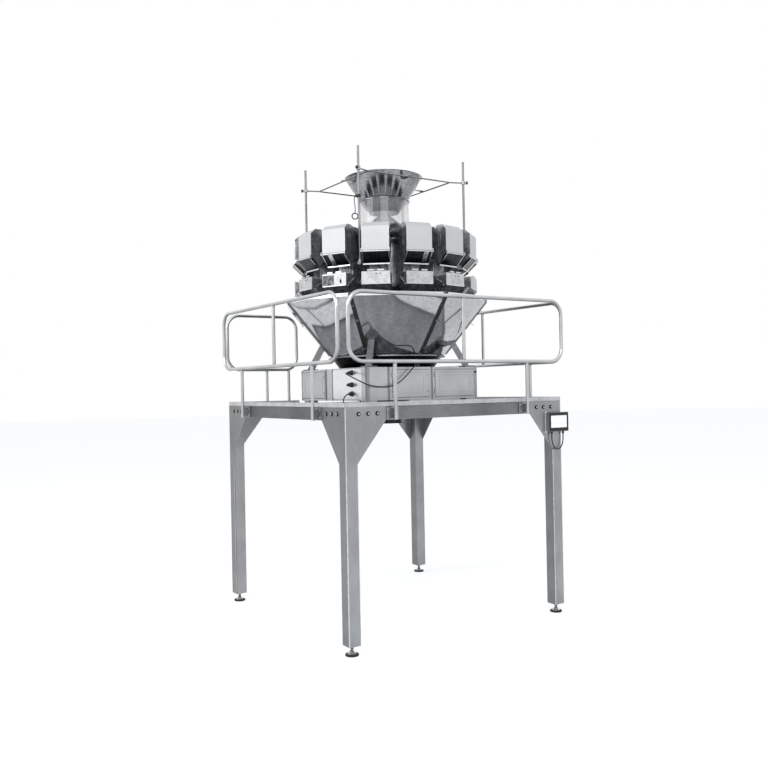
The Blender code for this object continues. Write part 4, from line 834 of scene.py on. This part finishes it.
def makeCabinet():
    shell = dressedCopy("cabinet_shell", "base_cabinets", cabinetSteel, 0.0018)
    paintShade(shell, shadedSteel, lambda face: face.normal.z > 0.9)      # tops stay in the chute's shade
    makeDoors()
    makeGlandPlate()
    posts, slits = bmesh.new(), bmesh.new()
    half, width, joint, slit = sizesOf(cabinet, "half postWidth jointHalf slitHalf")
    out, back = -half - 0.0015, -half + 0.001
    low, high = cabinet["bottom"] + 0.001, cabinet["top"] - 0.001
    for angle in (0, 90, 180, 270):
        turn = turned(angle)
        addBox(posts, (out, out, low), (-half + width, back, high), turn)
        addBox(posts, (out, back, low), (back, -half + width, high), turn)
        for x in cabinet["joints"][angle % 180 // 90]:       # joints between the cabinets' sheets
            addBox(posts, (x - joint, out, low), (x + joint, back, high), turn)
            addBox(slits, (x - slit, out - 0.0006, low + 0.001), (x + slit, -half, high - 0.001), turn)
    newPiece("cabinet_posts", posts, legSteel, edge=0.0007)
    newPiece("cabinet_joints", slits, seamRubber)


makeCabinet()
print("cabinets built")


# struts, chute and discharge funnel

chute = {
    "slides": 7,
    "bottom": 2.20,
    "bandLow": 2.662,
    "top": 2.69,
    "bottomRadius": 0.51,
    "topRadius": 0.885,
    "seamWidth": 0.0356,
    "seamRaise": 0.0064,
    "seamStart": 0.0148,
    "clips": ((0.1, 0.011), (0.6, 0.03), (0.84, 0.011)),      # place along the seam, and half length
    "clipSheet": 0.0025,
    "screw": 0.0042,
    "rimScrews": (-0.12, -0.04, 0.04, 0.12),                  # along each flat of the rim band
}
discharge = {
    "sheet": 0.004,
    "spout": 0.125,
    "spoutLow": 1.62,
    "spoutTop": 1.73,
    "lip": 0.02,
    "seat": 2.1003,              # flange on the cabinets
    "seatWidth": 0.05,
    "coneRadius": 0.48,
    "coneTop": 2.1957,
    "coneEnd": 2.192,            # where the slope would reach the cone's radius
    "flange": 0.518,
    "screwCircles": (0.499, 0.138),
}


def makeChute():
    dressedCopy("drum_struts", "weigher_stand", strutSteel, 0.002)
    dressedCopy("chute_slides", "upper_chute", slideSteel, 0.0012)
    slides, start, rise, screw = sizesOf(chute, "slides seamStart seamRaise screw")
    low, band, top, reach = chute["bottom"] + start, chute["bandLow"], chute["top"], chute["topRadius"]
    slope = (reach - chute["bottomRadius"]) / (band - chute["bottom"])
    base = chute["bottomRadius"] + start * slope
    half, sheet = chute["seamWidth"] / 2, chute["clipSheet"]
    outline = ((base + 0.003, low), (base + rise, low), (reach + rise, band), (reach + rise, top - 0.001),
               (reach + 0.003, top - 0.001), (reach + 0.003, band))
    lean = Matrix.Rotation(math.pi / 2 - math.atan2(1, slope), 4, "Y")
    strips, clips, screws = bmesh.new(), bmesh.new(), bmesh.new()
    for index in range(slides):
        turn = headPlace(index * 360 / slides)
        addPrism(strips, outline, -half, half, turn)
        for share, long in chute["clips"]:      # clips that hold the slides together
            place = (base + rise + share * (reach - base), 0, low + share * (band - low))
            seat = turn @ Matrix.Translation(place) @ lean
            wide = half - (0.001 if long > 0.02 else 0.007)
            addBox(clips, (-long, -wide, 0), (long, wide, sheet), seat)
            for side in (-1, 1):
                spot = (side * (long - 0.007), -side * (wide - 0.006), sheet)
                addScrew(screws, spot, (0, 0, 1), screw, seat)
    newPiece("chute_seam_strips", strips, seamRubber, edge=0.0008)
    newPiece("chute_clips", clips, cheekSteel, edge=0.0006)
    newPiece("chute_clip_screws", screws, boltSteel)
    outer, inner, deep = reach + 0.0012, reach - 0.001, reach - 0.0052
    rim = [(outer, band + 0.002), (outer, top + 0.0006), (deep, top + 0.0006), (deep, top - 0.003),
           (inner, top - 0.003), (inner, band + 0.002)]
    bm = bmesh.new()
    addLathe(bm, rim, 2 * slides, ring=True, phase=90)
    newPiece("chute_rim_band", bm, glandPlate)
    bm = bmesh.new()
    flat = outer * math.cos(math.pi / (2 * slides))
    for index in range(2 * slides):
        turn = headPlace((index + 0.5) * 180 / slides)
        for y in chute["rimScrews"]:
            addScrew(bm, (flat, y, (band + top) / 2), (1, 0, 0), screw, turn)
    newPiece("chute_rim_screws", bm, boltSteel)


def makeDischarge():
    sheet, spout, low, bend, lip, seat, cone, top = sizesOf(
        discharge, "sheet spout spoutLow spoutTop lip seat coneRadius coneTop")
    # the cone's radius where it passes the cabinets' tops
    onSeat = spout + (seat - bend) / (discharge["coneEnd"] - bend) * (cone - spout)
    flange, seatEdge = discharge["flange"], onSeat + discharge["seatWidth"]
    bm = bmesh.new()
    profile = [(cone, top), (spout, bend), (spout, low), (spout + lip, low), (spout + lip, low + sheet),
               (spout + sheet, low + sheet), (spout + sheet, bend), (onSeat + sheet * 1.2, seat),
               (seatEdge, seat), (seatEdge, seat + sheet), (onSeat + sheet * 2, seat + sheet),
               (cone + sheet, top - sheet), (flange, top - sheet), (flange, top)]
    addLathe(bm, profile, 96, ring=True)
    newPiece("discharge_cone", bm, gateSteel, replaced=("discharge_funnel",), sharp=30)
    bm = bmesh.new()
    above, below = discharge["screwCircles"]
    for step in range(14):
        turn = turned(360 * (step + 0.5) / 14)
        addScrew(bm, (above, 0, top + 0.0043), (0, 0, 1), 0.006, turn)
        if step % 2:
            addScrew(bm, (below, 0, low), (0, 0, -1), 0.005, turn)
    newPiece("discharge_screws", bm, boltSteel)


makeChute()
makeDischarge()
print("chute built")


# drum, feeders, cone and infeed funnel

feed = {
    "coneRadius": 0.30,
    "coneEdge": 3.266,
    "coneSlope": 0.74,
    "rim": 0.335,
    "rimTop": 3.79,
    "waist": 0.205,
    "waistHeight": 3.576,
    "flange": 0.23,
    "flangeScrews": 0.2245,
    "throat": 0.13,
    "throatHeight": 3.477,
    "sheet": 0.003,
    "tabHalf": 0.018,
    "tabBolt": 0.022,            # in from the rod
    "skirt": 0.22,
    "skirtSheet": 0.005,
    "skirtLow": 3.3599,
    "skirtHigh": 3.5727,
    "rod": 0.006,
    "rodHalf": 0.42,
    "rodHeight": 3.715,
}


def makeCone():
    radius, edge, slope = sizesOf(feed, "coneRadius coneEdge coneSlope")
    top = edge + 0.004
    tip = top + (radius - 0.012) * slope
    profile = [(radius - 0.004, edge), (radius, edge + 0.001), (radius, top), (0.16, top + 0.14 * slope),
               (0.02, tip - 0.006), (0.012, tip - 0.0015), (0.006, tip), (0.0015, tip), (0.0015, tip - 0.006),
               (0.07, edge + (radius - 0.074) * slope), (0.07, edge)]
    bm = bmesh.new()
    addLathe(bm, profile, 96, ring=True)
    newPiece("cone_sheet", bm, turnedSteel, replaced=("dispersion_cone",), sharp=30)


def makeInfeed():
    rim, rimTop, waist, waistZ, throat, throatZ, flange, sheet, half, rod = sizesOf(
        feed, "rim rimTop waist waistHeight throat throatHeight flange sheet rodHalf rod")
    above, below, bead = waistZ + sheet, waistZ - sheet, rim + 0.0088
    profile = [(rim, rimTop - 0.004), (waist, waistZ), (throat, throatZ), (throat + sheet, throatZ),
               (waist + sheet, below), (flange, below), (flange, above), (waist + 0.006, above),
               (rim + 0.003, rimTop - 0.007), (rim + 0.006, rimTop - 0.0068), (bead, rimTop - 0.004),
               (bead, rimTop - 0.002), (rim + 0.006, rimTop), (rim + 0.002, rimTop)]
    bm = bmesh.new()
    addLathe(bm, profile, 120, ring=True)
    weld = waist + 0.0085
    addLathe(bm, [(waist + sheet, above), (weld, above), (weld, waistZ + 0.012)], 96, ring=True)
    seat = feed["rodHeight"] + rod + 0.0003      # tabs that rest on the rods
    wall = waist + (seat - waistZ) * (rim - waist) / (rimTop - waistZ)
    wide = feed["tabHalf"]
    bolts = bmesh.new()
    for angle in (0, 90, 180, 270):
        addBox(bm, (wall + 0.002, -wide, seat), (half + rod, wide, seat + 0.004), turned(angle))
        addBolt(bolts, (half - feed["tabBolt"], 0, seat + 0.004), (0, 0, 1), 0.009, turned(angle))
    for step in range(12):
        addScrew(bolts, (feed["flangeScrews"], 0, above), (0, 0, 1), 0.0042, turned(30 * step))
    newPiece("infeed_cone", bm, turnedSteel, replaced=("infeed_funnel",), sharp=30)
    newPiece("infeed_bolts", bolts, boltSteel)


def makeFeed():
    dressedCopy("drum_body", "drum", cheekSteel, 0.003)
    for side in ("front", "right", "back", "left"):
        pans = dressedCopy("pans_" + side, "feeders_" + side, hopperSheet, 0.0008)
        paintShade(pans, shadedSteel, lambda face: face.normal.z < 0.4)      # their walls stand in shade
    makeCone()
    makeInfeed()
    outer, low, high = sizesOf(feed, "skirt skirtLow skirtHigh")
    inner = outer - feed["skirtSheet"]
    bm = bmesh.new()
    addLathe(bm, [(outer, low), (outer, high), (inner, high), (inner, low)], 96, ring=True)
    newPiece("clear_fall_skirt", bm, clearAcrylic, replaced=("clear_skirt",), edge=0.0008)


funnelPost = {
    "circle": 0.705,
    "angle": 49.8,
    "low": 2.957,
    "top": 3.8995,
    "radius": 0.010,
    "clamp": [(0.0165, -0.015), (0.018, -0.0135), (0.018, 0.0135), (0.0165, 0.015)],
    "socket": [(0.015, 0.0), (0.015, 0.018), (0.0135, 0.02)],
    "knob": [(0.006, 0.024), (0.011, 0.026), (0.0125, 0.031), (0.0125, 0.038), (0.009, 0.041)],
    "knobLobe": (0.0105, 0.027, 0.039, 0.0042),      # out from the knob's axis, its ends and its radius
}
probe = {                        # level probe on the front left post
    "side": (-0.84, 0.54, 0),
    "clampHeight": 3.49,
    "clamp": [(0.015, -0.013), (0.017, -0.011), (0.017, 0.011), (0.015, 0.013)],
    "knob": [(0.006, 0.012), (0.010, 0.014), (0.011, 0.02), (0.011, 0.028), (0.007, 0.031)],
    "arm": ((0.018, 0.030, 0.002), (0.026, 0.036, -0.002)),      # start and end along the side, height
    "wire": (0.034, 3.349, 0.0034, 0.003),                       # out, lower end, radius and bow
    "ring": (3.325, 0.024, 0.0046),                              # height, radius and thickness
}


def postFoot(sx, sy):
    angle = math.radians(funnelPost["angle"])
    return Vector((sx * math.sin(angle), sy * math.cos(angle), 0)) * funnelPost["circle"]


def makeFunnelStand():
    half, z, rod = sizesOf(feed, "rodHalf rodHeight rod")
    low, top, radius = sizesOf(funnelPost, "low top radius")
    lobe, lobeLow, lobeTop, lobeRadius = funnelPost["knobLobe"]
    up = Vector((0, 0, 1))
    bm, clamps, knobs = bmesh.new(), bmesh.new(), bmesh.new()
    addTube(bm, [(x, y, z) for x, y in roundedLoop(-half, half, -half, half, 0.02, 6)], rod, True, 20)
    for corner, sx, sy in cornerSigns:
        post = postFoot(sx, sy)
        out, clampAt = post.normalized(), post + up * z
        addRod(bm, post + up * low, post + up * top, radius, still, 28, 0.0015)
        addRod(bm, (sx * (half - rod), sy * (half - rod), z), clampAt, rod * 0.97)
        addLathe(clamps, funnelPost["clamp"], 36, Matrix.Translation(clampAt))
        addLathe(clamps, funnelPost["socket"], 32, Matrix.Translation(post + up * low))
        addRod(clamps, clampAt, clampAt + out * 0.026, 0.005, still, 16)
        knobAt = aim(clampAt, out)
        addLathe(knobs, funnelPost["knob"], 32, knobAt)
        for angle in range(0, 360, 60):
            spin = knobAt @ turned(angle)
            addRod(knobs, (lobe, 0, lobeLow), (lobe, 0, lobeTop), lobeRadius, spin, 12, 0.001)
    newPiece("funnel_posts_and_rods", bm, rodSteel, replaced=("funnel_stand",))
    newPiece("post_clamps", clamps, boltSteel)
    newPiece("post_clamp_knobs", knobs, blackNylon)


def makeProbe():
    side, height = Vector(probe["side"]), probe["clampHeight"]
    post = postFoot(-1, -1)
    post.z = height
    clips = bmesh.new()
    addLathe(clips, probe["clamp"], 32, Matrix.Translation(post))
    addLathe(clips, probe["knob"], 28, aim(post, side))
    for start, end, rise in probe["arm"]:      # arm that the wire hangs from
        lift = Vector((0, 0, rise))
        addRod(clips, post + side * start + lift, post + side * end + lift, 0.006)
    out, wireLow, thick, bow = probe["wire"]
    wire = []
    for step in range(13):
        share = step / 12
        sway = out + bow * math.sin(2 * math.pi * share)
        wire.append(post + side * sway + Vector((0, 0, (wireLow - height) * share)))
    bm = bmesh.new()
    addTube(bm, wire, thick, False, 12)
    ringHeight, radius, thick = probe["ring"]
    middle = post + side * out + Vector((0, 0, ringHeight - height))
    circle = [middle + side * radius * c + Vector((0, 0, radius * s)) for c, s in circlePoints(32)]
    addTube(bm, circle, thick, True, 14)
    newPiece("probe_clamp", clips, blackNylon)
    newPiece("probe_ring", bm, blackNylon)


makeFeed()
makeFunnelStand()
makeProbe()
print("feed and funnel stand built")


# fourteen heads, each with its drive housing, feed hopper and weigh hopper, and the gate between them

head = {
    "count": 14,
    "drum": 0.4503,
    "housingReach": 0.625,
    "housingLow": 2.79,
    "housingHigh": 3.148,
    "housingHalf": 0.07,
    "housingBevel": 0.03,
    "hanger": (0.010, 0.05, 2.77, 3.1503),      # plate that carries the hoppers: sheet, half width, ends
    "inner": 0.634,
    "outer": 0.80,
    "sheet": 0.002,
    "valley": 0.083,             # how far the slanted floor runs in and down
    "feedHalf": 0.1095,
    "feedBend": 3.031,
    "feedTop": 3.261,
    "feedBackTop": 3.165,
    "bevelRun": 0.045,
    "bevelDrop": 0.039,
    "topRun": 0.10,
    "stiffener": (0.098, 3.135, 0.011, 0.044, 0.0016),      # place, radius, half length, wire
    "weighHalf": 0.115,
    "weighBend": 2.76,
    "weighTop": 2.86,
    "hooks": (-0.042, 0.040),
    "hookScrews": (0.004, 0.038),
    "slot": (0.062, 2.796, 0.010, 0.017),       # in the wear plate: place and half sizes
    "spring": (0.035, 0.075, 0.05, 0.0032, 0.0009),         # start, run, rise, radius and wire
    "springTurns": 12,
    "gateRadius": 0.8075,
    "gateHeight": 3.0215,
    "gateLength": 0.1174,
    "gateSheet": 0.0025,
    "barrel": 0.0055,
    "pin": 0.0036,
    "lip": 0.010,
    "straps": {1: ((0.038, 0.055), (0.059, 0.076)), 3: ((-0.05, -0.01),)},      # every other gate has one
}


def addHousing(dark, bright, turn):
    drum, reach, low, high, half, bevel = sizesOf(
        head, "drum housingReach housingLow housingHigh housingHalf housingBevel")
    outline = ((drum, low), (reach - bevel, low), (reach, low + bevel), (reach, high - bevel),
               (reach - bevel, high), (drum, high))
    addPrism(dark, outline, -half, half, turn)
    sheet, wide, plateLow, plateHigh = head["hanger"]
    addBox(dark, (reach - 0.001, -wide, plateLow), (reach + sheet, wide, plateHigh), turn)
    for y in (-half - 0.0012, half - 0.0006):      # cover's folded edges
        for z in (low + 0.04, high - 0.055):
            addBox(bright, (drum + 0.012, y, z), (reach - 0.012, y + 0.0018, z + 0.003), turn)
    for side in (-1, 1):
        for x in (drum + 0.03, reach - 0.03):
            for z in (low + 0.06, high - 0.04):
                addScrew(bright, (x, side * half, z), (0, side, 0), 0.0045, turn)


def addFeedHopper(sheets, cheeks, fittings, turn):
    half, sheet, inner, outer, bend, top, backTop, valley, run, drop = sizesOf(
        head, "feedHalf sheet inner outer feedBend feedTop feedBackTop valley bevelRun bevelDrop")
    face = outer - 0.0006        # cheeks end just behind the front sheet
    cheek = ((inner, backTop), (outer - head["topRun"], top), (outer - run, top), (face, top - drop),
             (face, bend), (inner + valley, bend - valley), (inner, bend))
    for y in (-half, half - sheet):
        addPrism(cheeks, cheek, y, y + sheet, turn)
    front = [(outer, bend), (outer, top - drop * 1.06), (outer - run * 0.02, top - drop * 0.96),
             (outer - run, top), (outer - run - 0.006, top - 0.005)]
    addStrip(sheets, front, sheet, -half, half, turn)
    back = [(inner, backTop), (inner, bend), (inner + valley, bend - valley)]
    addStrip(cheeks, back, sheet, -half, half, turn)
    place, height, radius, long, wire = head["stiffener"]
    for side in (-1, 1):
        y = side * half
        middle = Matrix.Translation((inner + place, y, height)) @ Matrix.Rotation(-side * math.pi / 2, 4, "X")
        oval = [(radius * c, math.copysign(long, s) + radius * s, -0.0004) for c, s in circlePoints(20, 0.5)]
        addTube(cheeks, [turn @ middle @ Vector(point) for point in oval], wire, True, 8)
        y0, y1 = sorted((y + side * 0.0008, y - side * 0.0012))      # painted highlight along the cheek's front edge
        addBox(fittings, (outer - 0.004, y0, bend + 0.004), (outer + 0.0008, y1, top - 0.045), turn)


def addGateEar(bm, side, turn):
    half, outer, x, z = sizesOf(head, "feedHalf outer gateRadius gateHeight")
    near, far = half + 0.005, half + 0.008
    outline = ((x - 0.008, z - 0.006), (x - 0.006, z - 0.008), (x + 0.006, z - 0.008), (x + 0.008, z - 0.006),
               (x + 0.008, z + 0.014), (outer, z + 0.028), (outer - 0.02, z + 0.028))
    addPrism(bm, outline, *sorted((side * near, side * far)), turn)
    y0, y1 = sorted((side * (half - 0.001), side * (far - 0.0015)))      # bridge to the hopper's cheek
    addBox(bm, (outer - 0.018, y0, z + 0.016), (outer - 0.002, y1, z + 0.026), turn)


def addWeighHopper(sheets, cheeks, fittings, turn):
    half, sheet, inner, outer, bend, top, valley = sizesOf(
        head, "weighHalf sheet inner outer weighBend weighTop valley")
    middle, face = inner + valley, outer - 0.0006
    cheek = ((inner, top - 0.02), (outer - 0.08, top), (face, top), (face, bend),
             (middle, bend - valley + 0.0006), (inner, bend))
    for y in (-half, half - sheet):
        addPrism(cheeks, cheek, y, y + sheet, turn)
    addStrip(sheets, [(outer, bend - 0.0006), (outer, top)], sheet, -half, half, turn)
    addStrip(cheeks, [(middle, bend - valley), (outer, bend)], sheet, -half + 0.0006, half - 0.0006, turn)
    addStrip(cheeks, [(inner, top - 0.02), (inner, bend), (middle, bend - valley)], sheet, -half, half, turn)
    wide, back = half - 0.001, outer - 0.0005
    addBox(fittings, (back, -wide, bend - 0.001), (outer + 0.0024, wide, bend + 0.005), turn)
    addBox(fittings, (back, -wide, top - 0.005), (outer + 0.0018, wide, top + 0.0005), turn)
    start, run, rise, radius, wire = head["spring"]
    for side in (-1, 1):             # door arm and spring on the hopper's cheek
        arm = ((outer - 0.03, bend + 0.012), (outer - 0.014, bend - 0.004), (middle + 0.01, bend - 0.058),
               (middle - 0.004, bend - 0.052), (outer - 0.046, bend + 0.006))
        addPrism(fittings, arm, *sorted((side * (half - 0.0005), side * (half + 0.003))), turn)
        addScrew(fittings, (outer - 0.031, side * (half + 0.003), bend + 0.001), (0, side, 0), 0.006, turn)
        coil = []
        steps = 8 * head["springTurns"]
        for step in range(steps + 1):
            angle, share = 2 * math.pi * step / 8, step / steps
            coil.append((outer - start - run * share, side * (half + 0.0075 + radius * math.cos(angle)),
                         bend + 0.02 + rise * share + radius * math.sin(angle)))
        addTube(fittings, coil, wire, False, 6, turn)


def addHooks(fittings, marks, turn, index):
    half, outer, bend, top = sizesOf(head, "weighHalf outer weighBend weighTop")
    back = outer - 0.0005
    for y in head["hooks"]:          # hooks that hang the hopper on its load cell plate
        addBox(marks, (outer - 0.0065, y - 0.020, top - 0.014), (outer - 0.0022, y + 0.020, top + 0.011),
               turn)
        addBox(fittings, (outer - 0.0045, y - 0.026, top + 0.006), (outer + 0.001, y + 0.026, top + 0.0165),
               turn)
    if index % 2 == 0:               # heads of the hooks' screws
        for y in head["hookScrews"]:
            addBox(marks, (back, y - 0.007, top - 0.024), (outer + 0.0016, y + 0.007, top - 0.013), turn)
    if index % 4 == 3:               # polished wear plate, and the slot that its key goes through
        addBox(marks, (back, -half + 0.004, bend + 0.008), (outer + 0.0012, -0.002, top - 0.008), turn)
        y, z, wide, high = head["slot"]
        count = 24
        slot = [(outer + 0.0008, y + wide * c, z + high * s) for c, s in circlePoints(count)]
        sides = [(i, count + i, count + (i + 1) % count, (i + 1) % count) for i in range(count)]
        addFaces(marks, slot + [(x - 0.0015, y, z) for x, y, z in slot],
                 [tuple(range(count)), tuple(reversed(range(count, 2 * count)))] + sides, turn)


def addGate(dark, bright, turn, straps):
    half, x, z, barrel, sheet, lip = sizesOf(head, "feedHalf gateRadius gateHeight barrel gateSheet lip")
    inward, outward = Vector((-1, -1)).normalized(), Vector((1, -1)).normalized()
    hinge = Vector((x, z))
    start = hinge + outward * barrel
    edge = start + inward * head["gateLength"]
    addStrip(dark, [edge + Vector((0, -lip)), edge, start], sheet, -half, half, turn)
    angles = [math.radians(-45) + (2 * math.pi - 0.8) * step / 19 for step in range(20)]
    curl = [Vector((math.cos(angle), math.sin(angle))) for angle in angles]
    ring = [hinge + point * barrel for point in curl]
    ring += [hinge + point * (barrel - sheet) for point in reversed(curl)]
    addPrism(bright, ring, -half, half, turn)
    reach = half + 0.009
    addRod(bright, (x, -reach, z), (x, reach, z), head["pin"], turn, 20, 0.0008)
    lipFace = [edge + Vector((0.0008, -lip)), edge + Vector((0.0008, 0.0006))]
    addStrip(bright, lipFace, -0.0012, 0.0005 - half, half - 0.0005, turn)
    for y in (-half, half - 0.006):       # folded side edges of the plate
        ends = [edge - inward * 0.002 + outward * 0.0007, start + inward * 0.004 + outward * 0.0007]
        addStrip(bright, ends, -0.0012, y, y + 0.006, turn)
    for low, high in straps:              # stiffening straps
        ends = [edge - inward * 0.002 + outward * 0.0018, start + inward * 0.002 + outward * 0.0018]
        addStrip(bright, ends, -0.0024, low, high, turn)


def makeHeads():
    for index in range(head["count"]):
        turn = headPlace((index + 0.5) * 360 / head["count"])
        label = f"{index + 1:02d}"
        body = "gate_" + label
        dark, bright, sheets, weigh, cheeks, fittings, marks, gate, lip = (bmesh.new() for _ in range(9))
        addHousing(dark, bright, turn)
        addFeedHopper(sheets, cheeks, fittings, turn)
        for side in (-1, 1):
            addGateEar(fittings, side, turn)
        addWeighHopper(weigh, cheeks, fittings, turn)
        addHooks(fittings, marks, turn, index)
        newPiece("drive_housing_" + label, dark, housingSteel, replaced=("head_" + label,),
                 edge=0.003)
        newPiece("housing_trim_" + label, bright, edgeSteel, edge=0.0006)
        for name, bm, finish in (("hopper_cheeks_", cheeks, cheekSteel),
                                 ("feed_hopper_", sheets, hopperSheet),
                                 ("weigh_hopper_", weigh, weighSheet),
                                 ("hopper_fittings_", fittings, edgeSteel)):
            newPiece(name + label, bm, finish)
        # wear plates, hook backs and screw heads in the steel darkened with painted shade; the slot painted
        # darker still
        plates = newPiece("wear_plates_" + label, marks, shadedSteel)
        paintShade(plates, gateSteel, lambda face: len(face.vertices) > 4)      # the slot, dark behind
        addGate(gate, lip, turn, head["straps"].get(index % 4, ()))
        newPiece("gate_plate_" + label, gate, gateSteel, body, (body,))
        newPiece("gate_edges_" + label, lip, edgeSteel, body)


makeHeads()
print("heads built")


# touch screen on the front right leg

panel = {
    "middle": (1.004, 1.617),        # X and Z
    "front": -1.0983,
    "back": -1.0603,
    "width": 0.226,
    "height": 0.162,
    "bezels": (0.024, 0.023, 0.033, 0.028),      # left, right, below and above the glass
    "rim": 0.003,
    "corner": 0.008,
    # mount: plate, rail along the case's edge, arm between them; X, thickness and half height
    "mount": (((-0.04, 0.04), 0.010, 0.04), ((-0.124, -0.106), 0.006, 0.088),
              ((-0.110, -0.036), 0.004, 0.015)),
}


def addRoundedPlate(bm, corner, y0, y1, left, right, below, above):
    # the case's outline, each side moved in by its own amount
    x, z = panel["middle"]
    wide, high = panel["width"] / 2, panel["height"] / 2
    outline = roundedLoop(x - wide + left, x + wide - right, z - high + below, z + high - above, corner, 6)
    addPrism(bm, outline, y0, y1)


def makeScreen():
    front, back, rim, corner = sizesOf(panel, "front back rim corner")
    x, z = panel["middle"]
    case, bezel, glass, mount = (bmesh.new() for _ in range(4))
    addRoundedPlate(case, corner, front + 0.003, back - 0.008, 0, 0, 0, 0)
    newPiece("screen_case", case, caseAlloy, replaced=("operator_panel",), edge=0.0015)
    addRoundedPlate(bezel, corner - rim, front + 0.0008, front + 0.0035, rim, rim, rim, rim)
    newPiece("screen_bezel", bezel, blackNylon, edge=0.0008)
    addRoundedPlate(glass, 0.002, front + 0.0004, front + 0.002, *panel["bezels"])
    newPiece("screen_glass", glass, screenGlass)
    for (left, right), thick, high in panel["mount"]:
        addBox(mount, (x + left, back - thick, z - high), (x + right, back, z + high))
    newPiece("screen_bracket", mount, glandPlate, edge=0.001)


makeScreen()
print("screen built")


# studio: white room, pale floor that keeps the shadow, soft lamps

studio = {
    "roomTone": "e9ebee",
    "roomStrength": 0.54,
    "floorTone": "efefef",
    "floorGlow": 0.58,
    "floorRadius": 60,
    "lamps": (("keyLamp", (-5.5, -9.0, 8.5), 8.0, 340), ("sideLamp", (-9.5, 2.0, 6.0), 6.0, 230)),
    "lampsAimAt": (0, 0, 2),
}


def seenDirectly(owner):
    # 1 for rays from the camera, reflections and rays through glass
    path = addNode(owner, "LightPath")
    total = path.outputs["Is Camera Ray"]
    for name in ("Is Glossy Ray", "Is Transmission Ray"):
        total = addNode(owner, "Math", {}, {0: total, 1: path.outputs[name]},
                        operation="MAXIMUM").outputs[0]
    return total


def makeStudio():
    scene = bpy.context.scene
    scene.view_settings.view_transform = "Standard"
    world = bpy.data.worlds.new("studio")
    scene.world = world
    world.use_nodes = True
    world.node_tree.nodes.clear()
    room = {"Color": hexColour(studio["roomTone"]), "Strength": studio["roomStrength"]}
    seen = addNode(world, "Background", {"Color": (1, 1, 1, 1)})
    lit = addNode(world, "Background", room)
    mix = addNode(world, "MixShader", {},
                  {"Fac": seenDirectly(world), 1: lit.outputs[0], 2: seen.outputs[0]})
    addNode(world, "OutputWorld", {}, {"Surface": mix.outputs[0]})
    middle = Vector(studio["lampsAimAt"])
    for name, place, size, energy in studio["lamps"]:
        data = bpy.data.lights.new(name, "AREA")
        data.size = size
        data.energy = energy
        lamp = bpy.data.objects.new(name, data)
        scene.collection.objects.link(lamp)
        lamp.location = place
        lamp.rotation_euler = (middle - Vector(place)).to_track_quat("-Z", "Y").to_euler()


def makeFloor():
    material, shader = newMaterial("white_floor_paint", Roughness=0.9)
    shader.inputs["Base Color"].default_value = hexColour(studio["floorTone"])
    shader.inputs["Specular IOR Level"].default_value = 0.0
    glow = addNode(material, "Emission", {"Color": (1, 1, 1, 1), "Strength": studio["floorGlow"]})
    seen = addNode(material, "MixShader", {}, {"Fac": seenDirectly(material), 2: glow.outputs[0]})
    both = addNode(material, "AddShader", {}, {0: shader.outputs[0], 1: seen.outputs[0]})
    joinNodes(material, both.outputs[0], material.node_tree.nodes["Material Output"].inputs["Surface"])
    bm = bmesh.new()
    bmesh.ops.create_circle(bm, cap_ends=True, segments=64, radius=studio["floorRadius"])
    mesh = bpy.data.meshes.new("floor")
    bm.to_mesh(mesh)
    bm.free()
    mesh.materials.append(material)
    floor = bpy.data.objects.new("floor", mesh)
    bpy.context.scene.collection.objects.link(floor)


makeStudio()
makeFloor()
print("studio ready")
